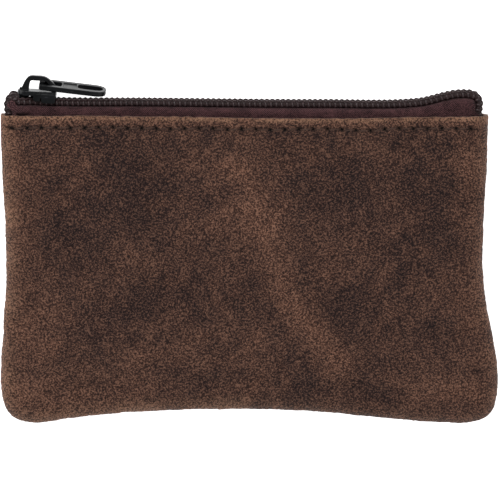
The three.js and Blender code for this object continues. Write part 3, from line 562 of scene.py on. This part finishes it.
def from_rim(x, y):
    """Distance from the sewn outline, the way in from it, and the run along it, for arrays of places."""
    flat = np.stack([np.ravel(x), np.ravel(y)], axis=1)
    near = np.array([RIM_TREE.find((p[0], p[1], 0))[1] for p in flat])
    away = ((flat - RIM[near]) * RIM_IN[near]).sum(axis=1)
    gap = np.linalg.norm(flat - RIM[near], axis=1)
    distance = np.where(gap < 1, np.clip(away, 0, None), gap)
    shape = np.shape(x)
    return distance.reshape(shape), RIM_IN[near].reshape(*shape, 2), RIM_RUN[near].reshape(shape)


# ---- The leather panels ----

THICKNESS = 1.2
ROLL = 3.4  # width of the rolled edge
ROLL_RISE = 3.35
ROLL_ROWS = 12
ROLL_CROWDING = 1.7  # brings the rows closer together towards the rim
MOUTH_RISE = box_of("front_topstitch")[1][2] - SEAM - SEAM_GAP + 0.15
CROWN = box_of("front_panel")[1][2] - SEAM - SEAM_GAP - ROLL_RISE
CROWN_RUN = 26
MOUTH_ZONE = 9
MOUTH_BLEND = 19
UNDER_TURN = math.radians(112)
SKIRT = -math.cos(UNDER_TURN)
STITCH_ROW = (box_of("front_topstitch")[0][1] + box_of("front_topstitch")[1][1]) / 2
ROW_PAST = (0.7, 0.5)  # how far left of the CAD's first and last legs the row starts and ends


def needle_holes():
    """Where the needle holes of the mouth's row are along X, worked out from the CAD's stitch legs."""
    legs = points_of("front_topstitch")
    legs = legs[legs[:, 2] < legs[:, 2].min() + 0.1]
    edges = np.unique(np.round(legs[:, 0], 2))
    count = len(edges) // 2 + 1
    return np.linspace(edges[0] - ROW_PAST[0], edges[-1] - ROW_PAST[1], count)


HOLES = needle_holes()
HOLE_LONG = 0.72  # half the length of the slit that a stitch pulls open
HOLE_WIDE = 0.36
HOLE_SLANT = math.radians(30)
HOLE_DEPTH = 0.7
GROOVE_DEPTH = 0.14  # of the row, pressed in by its stitches
GROOVE_HALF = 0.42
ROW_WANDER = 0.12
HILL, SMALL_HILL = 0.22, 0.1  # heights of what the outer faces rise and fall by
PUCKER = 0.13
SEAM_HOLLOW = 0.28
MOUTH_WAVE = 0.05
FOLD = 0.55  # height that a stroke of full strength raises the face by

# Soft pale strokes, partly wear and partly painted highlight: points along each, half width and strength.
STROKES = [
    ([(-4, 25), (-1, 19), (3, 12), (8, -3), (15, -14), (21, -22)], 2.2, 0.56),
    ([(-46, -12), (-36, -4), (-20, 4), (-9, 11), (-1, 14)], 4.0, 0.3),
    ([(-44, -22), (-30, -21), (-12, -18)], 4.5, 0.2),
    ([(7, 11), (18, 6), (30, 2)], 3.0, 0.24),
    ([(-57, 30), (-57, -30)], 6.0, 0.26),
    ([(-42, 20), (-43, 4), (-50, -8)], 3.0, 0.12),
    ([(38, -27), (54, -29)], 2.2, 0.45),
    ([(26, -18), (38, -10), (52, -4)], 5.0, 0.16),
    ([(53, 26), (51, 6), (50, -20)], 4.2, 0.24),
    ([(-52, 26), (-20, 24), (30, 27), (50, 24)], 2.5, 0.12),
    ([(-14, -2), (-4, -12), (4, -24)], 4.0, 0.12),
    ([(-54, -28), (-30, -31)], 3.0, 0.3),
]
# Painted shadows, which also sink the face a little: points along each, half width and strength.
SHADOWS = [
    ([(-34, 22), (-22, 14)], 8.0, -0.3),
    ([(40, 22), (47, 4), (44, -10)], 7.0, -0.24),
    ([(14, 18), (20, 20)], 6.0, -0.26),
    ([(-30, -4), (-12, -6)], 5.0, -0.24),
    ([(12, -30), (22, -30)], 3.0, -0.2),
    ([(-44, 12), (-40, 4)], 4.0, -0.2),
    ([(22, -6), (28, -16)], 5.0, -0.26),
    ([(-40, -8), (-34, -14)], 5.0, -0.22),
    ([(24, 6), (34, 4)], 4.0, -0.14),
    ([(-44, 4), (-40, -2)], 4.0, -0.14),
]


def stroke_field(x, y, strokes):
    total = np.zeros(np.shape(x))
    for points, half, strength in strokes:
        line = np.array(points, float)
        line = curve_through(line, 40) if len(points) > 2 else resampled(line, 30)
        gap = np.min([(x - px) ** 2 + (y - py) ** 2 for px, py in line], axis=0)
        total += strength * np.exp(-gap / (2 * half**2))
    return total


def over_the_roll():
    """Distances from the rim, crowded together over the rolled edge."""
    return ROLL * (np.arange(ROLL_ROWS) / ROLL_ROWS) ** ROLL_CROWDING


def stations(length, step):
    """Shares of a length from one rolled edge to the other."""
    rest = np.arange(ROLL, length / 2, step)
    half = np.concatenate([over_the_roll(), rest, [length / 2]]) / length
    return np.concatenate([half, 1 - half[:-1][::-1]])


def panel_relief(x, y, distance, run, side):
    """The small hills and hollows on the outer face."""
    inside = smooth(0, 7, distance)
    hills = HILL * waves(x, y, 11, 1) + SMALL_HILL * waves(x, y, 4.5, 2)
    pucker = PUCKER * ripple(run, 3.2, 3) * np.exp(-((distance - 3.5) ** 2) / 14)
    seam_hollow = -SEAM_HOLLOW * np.exp(-((distance - 6.6) ** 2) / 3) * smooth(0, 12, MOUTH_Y - y)
    mouth_wave = MOUTH_WAVE * ripple(x, 9, 5) * smooth(10, 0, MOUTH_Y - y)
    if side > 0:
        folds = FOLD * (stroke_field(x, y, STROKES[:4]) + 0.6 * stroke_field(x, y, SHADOWS))
        return inside * (hills + folds) + pucker + seam_hollow + mouth_wave
    return -np.abs(0.5 * (inside * hills + pucker)) + 0.3 * seam_hollow


def stitch_row(x):
    """The height of the mouth's row of stitches, which wanders a little."""
    return STITCH_ROW + ROW_WANDER * ripple(x, 6, 8)


def stitch_marks(x, y):
    """How deep the groove is, and how near a needle hole is, from 0 to 1."""
    dy = y - stitch_row(x)
    ends = smooth(HOLES[0] - 1, HOLES[0], x) * smooth(HOLES[-1] + 1, HOLES[-1], x)
    row = np.exp(-(dy**2) / (2 * GROOVE_HALF**2)) * ends
    c, s = math.cos(HOLE_SLANT), math.sin(HOLE_SLANT)
    near = []
    for hole in HOLES:
        dx = x - hole
        near.append(np.hypot((dx * c - dy * s) / HOLE_LONG, (dx * s + dy * c) / HOLE_WIDE))
    return row, np.exp(-(np.min(near, axis=0) ** 4))


def outer_face(x, y, side):
    """Height above the seam gap of the outer face, and the place that its roll moves each point to."""
    distance, inward, run = from_rim(x, y)
    mouth = smooth(MOUTH_Y - MOUTH_ZONE - MOUTH_BLEND, MOUTH_Y - MOUTH_ZONE, y)
    rise = mix(ROLL_RISE, MOUTH_RISE, mouth) if side > 0 else MOUTH_RISE
    swell = np.sin(np.clip(distance / CROWN_RUN, 0, 1) * math.pi / 2)
    crown = CROWN * swell * (1 - mouth) if side > 0 else 0.0
    angle = np.clip(1 - distance / ROLL, 0, 1) * UNDER_TURN
    height = rise * (np.cos(angle) + SKIRT) / (1 + SKIRT) + crown
    wobble = 0.05 * ripple(run, 2.6, 4) + 0.035 * ripple(run, 0.6, 6)
    lip = smooth(ROLL, 0, distance)
    move = np.where(distance < ROLL, ROLL * (1 - np.sin(angle)) - distance, 0)
    move += lip * (0.03 + wobble)
    relief = panel_relief(x, y, distance, run, side)
    groove, hole = stitch_marks(x, y)
    height = height + relief * smooth(0, 2.5, distance)
    height -= GROOVE_DEPTH * groove + HOLE_DEPTH * hole
    return height, x + move * inward[..., 0], y + move * inward[..., 1], distance, run


def wear_and_painted_light_of(x, y, distance, run, side):
    """How pale the leather is: worn at its edges and along the mouth, paler in strokes that are partly wear
    and partly painted highlight, and darker under painted shadows.
    """
    edge = 0.3 * np.exp(-distance / 1.5) * (0.8 + 0.4 * ripple(run, 5, 11))
    band = 0.42 * smooth(STITCH_ROW - 0.3, STITCH_ROW + 1.4, y)
    band += 0.25 * smooth(MOUTH_Y - 0.7, MOUTH_Y, y)
    patches = 0.07 * waves(x, y, 7, 12) + 0.08 * waves(x, y, 2.6, 13)
    if side > 0:
        # Pale strokes of wear and painted highlight, and painted shadows.
        strokes = stroke_field(x, y, STROKES) + stroke_field(x, y, SHADOWS)
    else:
        strokes = 0.15 * waves(x, y, 15, 14)
    return edge + band + patches + strokes


MOUTH_SAG = 0.65
SAG_MIDDLE = 15
SAG_RUN = 34
SAG_REACH = 16  # how far below the mouth the panels still hang with it
MOUTH_BAND = 4.6  # the rows are closer together in this much of the mouth
MOUTH_STEP = 0.22
LOWEST_BACK = 0.02


def sag(x):
    return MOUTH_SAG * np.exp(-(((x - SAG_MIDDLE) / SAG_RUN) ** 2))


def mouth_sag(x, y):
    """How far the mouth's edge hangs down between its ends."""
    return sag(x) * smooth(MOUTH_Y - SAG_REACH, MOUTH_Y, y)


def leather_panel(name, side, step, node):
    us = stations(BASE_RIM[-1, 0] - BASE_RIM[0, 0], step)
    length = MOUTH_Y - BASE_RIM[:, 1].min()
    high = np.arange(length - MOUTH_BAND, 0.3, -step)[::-1]
    fine = np.arange(length - MOUTH_BAND + MOUTH_STEP, length, MOUTH_STEP)
    vs = np.concatenate([over_the_roll(), high[high > ROLL], fine, [length]]) / length
    u, v = np.meshgrid(us, vs)
    place = coons(u, v)
    x, y = place[..., 0], place[..., 1]
    height, px, py, distance, run = outer_face(x, y, side)
    top = v >= 1
    fray = 0.045 * ripple(x, 1.2, 15) + 0.03 * ripple(x, 0.5, 16)
    py = np.where(top, y + fray, py) - mouth_sag(x, y)
    z = SEAM + side * (SEAM_GAP + height)
    if side < 0:
        z = np.maximum(z, LOWEST_BACK)
    outer = np.stack([px, py, z], axis=-1)
    du = np.gradient(outer, axis=1)
    dv = np.gradient(outer, axis=0)
    normal = np.cross(du, dv) * side
    normal /= np.linalg.norm(normal, axis=-1, keepdims=True)
    inner = outer - THICKNESS * normal
    inner[..., 1] = np.where(top, outer[..., 1], inner[..., 1])
    deep = SEAM + side * SEAM_GAP * 0.4
    inner[..., 2] = side * np.maximum(side * inner[..., 2], side * deep)
    rows, columns = x.shape
    count = rows * columns
    outside, inside, wall = shell_faces(rows, columns)
    faces = np.concatenate([outside, inside, wall])
    if side < 0:
        faces = faces[:, ::-1]
    mouth_wall = np.minimum(wall[:, 0], wall[:, 3]) >= (rows - 1) * columns
    kind = np.zeros(len(faces), int)
    kind[len(outside) + len(inside) :] = mouth_wall
    kind[len(outside) : len(outside) + len(inside)] = 1
    # Wear, with painted highlight in the pale strokes and painted shadow in the shadow patches.
    wear_and_painted_light = wear_and_painted_light_of(x, y, distance, run, side)
    groove, hole = stitch_marks(x, y)
    shade = hole + 0.12 * groove + 0.4 * np.exp(-distance / 0.3)
    raw = 0.75 * smooth(MOUTH_Y - 1.3, MOUTH_Y - 0.5, y) * (0.85 + 0.3 * ripple(x, 3, 17))
    # A paler band along the rim, stronger on the left side than on the right.
    pale_rim_band = np.exp(-((distance - 1.4) ** 2) / 2.6) * (0.9 + 0.25 * ripple(run, 4, 18))
    raw += np.where(x < 0, 0.62, 0.2) * pale_rim_band
    zero = np.zeros(count)
    values = {
        "wear_and_painted_light": np.concatenate([wear_and_painted_light.ravel(), zero + 0.5]),
        "shade": np.concatenate([np.clip(shade, 0, 1).ravel(), zero]),
        "raw": np.concatenate([np.clip(raw, 0, 1).ravel(), zero]),
    }
    points = np.concatenate([outer.reshape(-1, 3), inner.reshape(-1, 3)])
    make_piece(name, points, faces, "pouch", [LEATHER, RAW_EDGE], [node], kind, values)


leather_panel("front_leather", 1, 0.34, "front_panel")
leather_panel("back_leather", -1, 0.7, "back_panel")

# ---- The topstitches ----

STITCH_RADIUS = 0.21
LOWEST_STITCH = 0.27  # keeps the back's threads above the table
STITCH_START, STITCH_END = 0.4, -0.3  # from a needle hole, and from the next one
STITCH_RISE = 0.34  # from a stitch's start to its end, along Y
PLIES = 0.14  # how much a thread's two plies stand out of its round
TOP_PLIES = 0.16
PLY_TWIST = 4.5
OUT_OF_MOUTH = (0, 1, 0.01)
FROM_TABLE = (0, 0, 1)


def topstitches(name, side, node):
    heap = Heap()
    rng = np.random.default_rng(SEED + 40 + side)
    for first, last in zip(HOLES[:-1], HOLES[1:]):
        t = np.linspace(0, 1, 19)
        x = mix(first + STITCH_START, last + STITCH_END, t)
        y = stitch_row(x) + STITCH_RISE * (t - 0.5) + rng.normal(0, 0.03)
        height = outer_face(x, y, side)[0]
        leather = np.interp(t, [0, 0.5, 1], [height[3], height[9], height[15]])
        arch = np.sin(np.clip(t, 0, 1) * math.pi) ** 0.45
        z = SEAM + side * (SEAM_GAP + leather + mix(-0.8, -0.02, arch))
        path = np.stack([x, y - mouth_sag(x, y), np.maximum(z, LOWEST_STITCH)], axis=1)
        add_tube(heap, path, STITCH_RADIUS, OUT_OF_MOUTH, 12, TOP_PLIES, PLY_TWIST)
    make_piece(name, heap.all_points(), heap.faces, "pouch", [SEWING], [node])


topstitches("front_stitches", 1, "front_topstitch")
topstitches("back_stitches", -1, "back_topstitch")

# ---- Inner threads ----


def ring_path(node, tolerance=0.01):
    """The middle line of a lofted bar, from its corner points along X."""
    points = points_of(node)
    keys = np.round(points[:, 0] / tolerance).astype(int)
    path = []
    for key in np.unique(keys):
        group = points[keys == key]
        path.append((group.min(axis=0) + group.max(axis=0)) / 2)
    return np.array(path)


BOBBIN_RADIUS = 0.22
BOBBIN_STITCH = 3.37
SEAM_THREAD_RADIUS = 0.2
SEAM_LEG_RADIUS = 0.17
SEAM_STITCH = 4.0
SEAM_START = 1.2  # from the thread's end to its first leg


def bobbin_run(name, node):
    low, high = box_of(node)
    middle = (low + high) / 2
    t = np.linspace(0, 1, 260)
    x = mix(low[0], high[0], t)
    z = middle[2] + 0.04 * np.sin(x * 2 * math.pi / BOBBIN_STITCH)
    path = np.stack([x, middle[1] + 0 * x, z], axis=1)
    heap = Heap()
    add_tube(heap, path, BOBBIN_RADIUS, OUT_OF_MOUTH, 8, PLIES, PLY_TWIST)
    make_piece(name, heap.all_points(), heap.faces, "pouch", [SEWING], [node])


bobbin_run("front_bobbin_stitches", "front_bobbin_thread")
bobbin_run("back_bobbin_stitches", "back_bobbin_thread")


def seam_run(name, node, side, posts):
    """A thread along the turned seam, with its stitches' legs where it has them."""
    points = points_of(node)
    bottom, top = box_of(node)[0][2], box_of(node)[1][2]
    at = points[np.abs(points[:, 2] - (top if side > 0 else bottom)) < 2 * NEAR]
    inset = np.median(from_rim(at[:, 0], at[:, 1])[0])
    low = at[:, 1].max()
    line = RIM + inset * RIM_IN
    line = line[(line[:, 1] < low) | (np.abs(line[:, 0]) < BASE_RIM[-1, 0] - inset - 6)]
    keep = np.abs(from_rim(line[:, 0], line[:, 1])[0] - inset) < 0.25
    line = resampled(line[keep], 700)
    z = top - 0.25 if posts else mix(bottom, top, 0.5)
    path = np.stack([line[:, 0], line[:, 1], z + 0 * line[:, 0]], axis=1)
    heap = Heap()
    add_tube(heap, path, SEAM_THREAD_RADIUS, FROM_TABLE, 8, PLIES, PLY_TWIST)
    if posts:
        run = run_along(path)
        for at_run in np.arange(SEAM_START, run[-1], SEAM_STITCH):
            foot = np.array([np.interp(at_run, run, path[:, k]) for k in range(3)])
            leg = np.linspace(foot, foot - [0, 0, top - bottom - 0.3], 6)
            add_tube(heap, leg, SEAM_LEG_RADIUS, OUT_OF_MOUTH, 8)
    make_piece(name, heap.all_points(), heap.faces, "pouch", [SEWING], [node])


seam_run("seam_needle_stitches", "seam_needle_thread", 1, True)
seam_run("seam_bobbin_stitches", "seam_bobbin_thread", -1, False)

# ---- The zip ----

CORD_PATH = {1: ring_path("front_coil_cord"), -1: ring_path("back_coil_cord")}
STRAIGHT = (0, 30)  # a stretch along X where the chain is straight


def straight_part(node):
    points = points_of(node)
    return points[(points[:, 0] > STRAIGHT[0]) & (points[:, 0] < STRAIGHT[1])]


COIL_PART = straight_part("front_coil")
COIL_OUT = COIL_PART[:, 2].max() - SEAM
COIL_REACH = SEAM - COIL_PART[:, 2].min()
COIL_LOW = COIL_PART[:, 1].min()
COIL_HIGH = COIL_PART[:, 1].max()
TAPE_PART = straight_part("front_zip_tape")
TAPE_OUT = TAPE_PART[:, 2].max() - SEAM
TAPE_TOP = TAPE_PART[:, 1].max()
TAPE_LOW = box_of("front_zip_tape")[0][1]
CORD_X, CORD_YS, CORD_ZS = CORD_PATH[1].T
CORD_OUT = abs(np.interp(sum(STRAIGHT) / 2, CORD_X, CORD_ZS) - SEAM)
CORD_Y = np.interp(sum(STRAIGHT) / 2, CORD_X, CORD_YS)
FILAMENT = 0.34  # radius
CORE_RADIUS = 0.6
ZIP_THREAD_RADIUS = 0.17
# Each end of the chain turns down into the mouth: x from the CAD cord's end, and y from the hump's top.
RIGHT_TURN = [
    (-3.6, 0),
    (-2.3, -0.12),
    (-1.35, -0.5),
    (-0.8, -1.05),
    (-0.55, -1.85),
    (-0.6, -2.8),
    (-0.7, -3.8),
    (-0.9, -6.2),
]
LEFT_TURN = [(0.6, -6.6), (0.4, -4.2), (0.25, -3.0), (0.2, -1.9), (0.4, -1.0), (0.9, -0.35), (1.5, -0.1)]


def tooth_pitch():
    heads = straight_part("front_coil")
    heads = heads[heads[:, 2] < SEAM - COIL_REACH / 2]
    edges = np.unique(np.round(heads[:, 0], 2))
    starts = edges[np.concatenate([[True], np.diff(edges) > 0.6])]
    return (starts[-1] - starts[0]) / (len(starts) - 1)


PITCH = tooth_pitch()


def chain_line(side):
    """The chain's run for one coil: x, height of its middle, and how far it stands aside."""
    path = CORD_PATH[side]
    first, last = path[0, 0], path[-1, 0]
    body = path[(path[:, 0] > first + 1.6) & (path[:, 0] < last - 4)]
    left_spread, right_spread = np.abs(path[[0, -1], 2] - SEAM) - CORD_OUT
    left_top = path[path[:, 0] < first + 3, 1].max() + 0.25
    right_top = path[path[:, 0] > last - 8, 1].max()
    left = [(first + x, left_top + y, left_spread) for x, y in LEFT_TURN]
    right = [(last + x, right_top + y, right_spread) for x, y in RIGHT_TURN]
    spread = np.abs(body[:, 2] - SEAM) - CORD_OUT
    middle = np.stack([body[:, 0], body[:, 1], spread], axis=1)
    return resampled(curve_through(np.concatenate([left, middle, right]), 3000), 1600)


def softened(line, half):
    """A line whose corners are rounded off, with its ends kept."""
    pad = np.concatenate([np.repeat(line[:1], half, axis=0), line, np.repeat(line[-1:], half, axis=0)])
    kernel = np.hanning(2 * half + 1)
    kernel /= kernel.sum()
    out = np.stack([np.convolve(pad[:, k], kernel, mode="valid") for k in range(line.shape[1])], axis=1)
    out[0], out[-1] = line[0], line[-1]
    return out


CHAIN_SAG = 0.75  # the chain's share of the mouth's sag
CHAIN = {side: softened(chain_line(side), 9) for side in (1, -1)}
for _line in CHAIN.values():
    _line[:, 1] -= CHAIN_SAG * sag(_line[:, 0])


def chain_place(side, run, w, h, most_lean=math.pi):
    """Points at a run along the chain, w from the middle plane and h above the cord, square to the chain."""
    line = CHAIN[side]
    steps = np.diff(line[:, :2], axis=0)
    along = np.concatenate([[0], np.cumsum(np.hypot(*steps.T))])
    turn = np.arctan2(*np.gradient(line[:, :2], axis=0).T[::-1])
    x, y, spread, lean = [np.interp(run, along, a) for a in (*line.T, turn)]
    lean = np.clip(lean, -most_lean, most_lean)
    return np.stack([x - h * np.sin(lean), y + h * np.cos(lean), SEAM + side * (w + spread)], axis=-1)


def chain_length(side):
    line = CHAIN[side]
    return np.hypot(np.diff(line[:, 0]), np.diff(line[:, 1])).sum()


def coil_filament(name, side, node):
    per_turn = 20
    length = chain_length(side)
    half_step = 0 if side > 0 else PITCH / 2  # one coil's turns lie between the other's
    turns = int(length / PITCH) - 1
    t = np.arange(turns * per_turn + 1) * 2 * math.pi / per_turn
    middle = (COIL_OUT - COIL_REACH) / 2
    reach_w = (COIL_OUT + COIL_REACH) / 2 - FILAMENT
    reach_h = (COIL_HIGH - COIL_LOW) / 2 - FILAMENT

    def squared(value):
        return np.sign(value) * np.abs(value) ** 0.7

    w = middle - reach_w * squared(np.cos(t))
    height = (COIL_LOW + COIL_HIGH) / 2 - CORD_Y
    h = reach_h * squared(np.sin(t)) + height
    start = (length - turns * PITCH) / 2 + half_step
    run = np.clip(start + PITCH * t / (2 * math.pi) - 0.12 * np.sin(2 * t), 0, length)
    path = chain_place(side, run, w, h)
    centre = chain_place(side, run, middle + 0 * t, height + 0 * t)
    out = path - centre
    along = tangents(path)
    out -= (out * along).sum(axis=1, keepdims=True) * along
    out /= np.linalg.norm(out, axis=1, keepdims=True)
    heap = Heap()
    add_tube(heap, path, FILAMENT, out, 8)
    make_piece(name, heap.all_points(), heap.faces, "pouch", [COIL], [node])


coil_filament("front_coil_teeth", 1, "front_coil")
coil_filament("back_coil_teeth", -1, "back_coil")


def coil_core(name, side, node):
    run = np.linspace(0.6, chain_length(side) - 0.6, 300)
    path = chain_place(side, run, CORD_OUT + 0 * run, 0 * run)
    heap = Heap()
    add_tube(heap, path, CORE_RADIUS, FROM_TABLE, 10, 0.06, 3.0)
    make_piece(name, heap.all_points(), heap.faces, "pouch", [ZIP_SEWING], [node])


coil_core("front_coil_core", 1, "front_coil_cord")
coil_core("back_coil_core", -1, "back_coil_cord")

THREAD_ROWS = (0.95, 1.62)  # from the middle plane


def coil_sewing(name, side, node):
    """Two rows of chain stitches that hold the coil on its tape and dip between its turns."""
    heap = Heap()
    length = chain_length(side)
    run = np.linspace(0.5, length - 0.5, int(length / PITCH) * 10)
    top = COIL_HIGH - CORD_Y
    start = (length - int(length / PITCH - 1) * PITCH) / 2 + (0 if side > 0 else PITCH / 2)
    for at in THREAD_ROWS:
        phase = 2 * math.pi * (run - start) / PITCH - math.pi / 2
        h = top - 0.04 + 0.12 * np.cos(phase)
        w = at + 0.05 * np.sin(phase)
        path = chain_place(side, run, w, h)
        add_tube(heap, path, ZIP_THREAD_RADIUS, FROM_TABLE, 8, 0.1, 5.0)
    make_piece(name, heap.all_points(), heap.faces, "pouch", [ZIP_SEWING], [node])


coil_sewing("front_coil_sewing", 1, "front_coil_thread")
coil_sewing("back_coil_sewing", -1, "back_coil_thread")

# ---- The tapes ----

TAPE_THICK = 0.4
TAPE_EDGE = 0.8  # from the middle plane to the tape's edge under the coil
TAPE_RAISE = 0.28  # the tape comes up to the coil's underside
TAPE_LEAN = math.radians(62)  # the most that it leans with the chain at its ends
END_CLEAR = 1.1  # from the leather's top corners to the tape's ends


def tape_section(side, run, mouth, deep, x):
    """The tape's middle line at one run along the chain: under the coil, over the fold and down the mouth."""
    fold = TAPE_OUT - TAPE_THICK / 2
    under = TAPE_TOP - TAPE_THICK / 2 + TAPE_RAISE - CORD_Y
    w = np.array([TAPE_EDGE, mix(TAPE_EDGE, fold, 0.5), fold - 0.45, fold - 0.05, fold])
    h = np.array([0, 0, -0.02, -0.35, -0.9]) + under
    upper = chain_place(side, run + 0 * w, w, h, TAPE_LEAN)
    mouth = mouth - TAPE_THICK / 2
    deep = deep - TAPE_THICK / 2
    lower = [(mouth, 0), (mouth, -1.5), (mouth, -4), (deep, -7.5), (deep, TAPE_LOW - MOUTH_Y)]
    lower = [(x, MOUTH_Y + y, SEAM + side * out) for out, y in lower]
    return np.concatenate([upper, lower])


TAPE_CUT = 2.2  # from the chain's ends to the tape's, along the chain
TAPE_ROWS = 270
TAPE_COLUMNS = 40


def tape_piece(name, side, node):
    ends = np.array([LEFT_RIM[-1, 0], RIGHT_RIM[-1, 0]])
    runs = np.linspace(TAPE_CUT, chain_length(side) - TAPE_CUT, TAPE_ROWS)
    middle_line = chain_place(side, runs, 0 * runs, 0 * runs)
    rows = []
    across = []
    for run, x in zip(runs, middle_line[:, 0]):
        x = min(max(x, ends[0] + END_CLEAR), ends[1] - END_CLEAR)
        gap = min(x - ends[0], ends[1] - x)
        open_share = min(max((gap - 0.4) / 3.2, 0), 1)
        room = (MOUTH_RISE - THICKNESS) * math.sqrt(1 - (1 - open_share) ** 2)
        mouth = min(TAPE_OUT, max(room - 0.2, TAPE_THICK))
        deep = min(mouth, mix(SEAM_GAP + TAPE_THICK, TAPE_OUT, float(smooth(5.5, 11, gap))))
        curve = curve_through(tape_section(side, run, mouth, deep, x), TAPE_COLUMNS)
        rows.append(curve)
        across.append(run_along(curve))
    middle = np.array(rows)
    middle[..., 2] += side * 0.05 * waves(middle[..., 0], middle[..., 1], 3, 21) * (middle[..., 1] > MOUTH_Y)
    du = np.gradient(middle, axis=1)
    dv = np.gradient(middle, axis=0)
    normal = np.cross(dv, du) * side
    normal /= np.linalg.norm(normal, axis=-1, keepdims=True)
    outer = middle + normal * TAPE_THICK / 2
    inner = middle - normal * TAPE_THICK / 2
    faces = np.concatenate(shell_faces(TAPE_ROWS, TAPE_COLUMNS))
    if side > 0:
        faces = faces[:, ::-1]
    along = np.repeat(runs, TAPE_COLUMNS)
    values = {"along": np.tile(along, 2), "across": np.tile(np.ravel(across), 2)}
    points = np.concatenate([outer.reshape(-1, 3), inner.reshape(-1, 3)])
    make_piece(name, points, faces, "pouch", [TAPE], [node], None, values)


tape_piece("front_tape", 1, "front_zip_tape")
tape_piece("back_tape", -1, "back_zip_tape")

# ---- The slider and its puller ----

METAL_VOXEL = 0.075
METAL_SMOOTHING = {"slider_body": 6, "puller": 14}  # passes that round their edges


def cast_metal(name, node, body):
    """The CAD node's shape with its edges rounded over, as a die-cast and painted part's are."""
    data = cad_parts[node].data.copy()
    piece = in_scene(name, data)
    mesh = bmesh.new()
    mesh.from_mesh(data)
    bmesh.ops.remove_doubles(mesh, verts=mesh.verts, dist=1e-6)
    mesh.to_mesh(data)
    mesh.free()
    remesh = piece.modifiers.new("remesh", "REMESH")
    remesh.mode = "VOXEL"
    remesh.voxel_size = METAL_VOXEL * MM
    remesh.use_smooth_shade = True
    round_over = piece.modifiers.new("round", "SMOOTH")
    round_over.factor = 0.5
    round_over.iterations = METAL_SMOOTHING[node]
    bpy.context.view_layer.update()
    evaluated = piece.evaluated_get(bpy.context.evaluated_depsgraph_get())
    made = bpy.data.meshes.new_from_object(evaluated)
    piece.modifiers.clear()
    piece.data = made
    made.materials.clear()
    made.materials.append(METAL)
    made.polygons.foreach_set("use_smooth", np.ones(len(made.polygons), bool))
    settle(piece, body, [node])


cast_metal("slider_casting", "slider_body", "slider")
cast_metal("puller_casting", "puller", "puller")

# ---- The floor and the light ----


def make_floor():
    shader = Shader("pale_floor")
    tint = shader.noise(400, 1, 0.4)
    base = shader.mix((0.93, 0.93, 0.93, 1), (0.95, 0.95, 0.95, 1), tint)
    material = shader.finish(
        Base_Color=base, Roughness=0.9, Emission_Color=(1, 1, 1, 1), Emission_Strength=1.0
    )
    data = bpy.data.meshes.new("floor")
    half = 3  # of its side, in metres
    corners = [(-half, -half, 0), (half, -half, 0), (half, half, 0), (-half, half, 0)]
    data.from_pydata(corners, [], [(0, 1, 2, 3)])
    data.materials.append(material)
    floor = in_scene("floor", data)


def make_light(name, place, size, power):
    """A round lamp that points at the pouch; place and size are in metres."""
    data = bpy.data.lights.new(name, "AREA")
    data.shape = "DISK"
    data.size = size
    data.energy = power
    light = in_scene(name, data)
    light.location = place
    aim = Vector((0, 0, 0.005)) - Vector(place)
    light.rotation_euler = aim.to_track_quat("-Z", "Y").to_euler()


def make_world():
    world = bpy.data.worlds.new("studio")
    world.use_nodes = True
    world.node_tree.nodes["Background"].inputs["Color"].default_value = (1, 1, 1, 1)
    world.node_tree.nodes["Background"].inputs["Strength"].default_value = 0.4
    bpy.context.scene.world = world


make_floor()
make_light("key", (-0.35, 0.55, 0.8), 0.5, 5)
make_light("fill", (0.6, -0.3, 0.7), 0.8, 1.5)
make_world()
bpy.context.scene.view_settings.view_transform = "Standard"
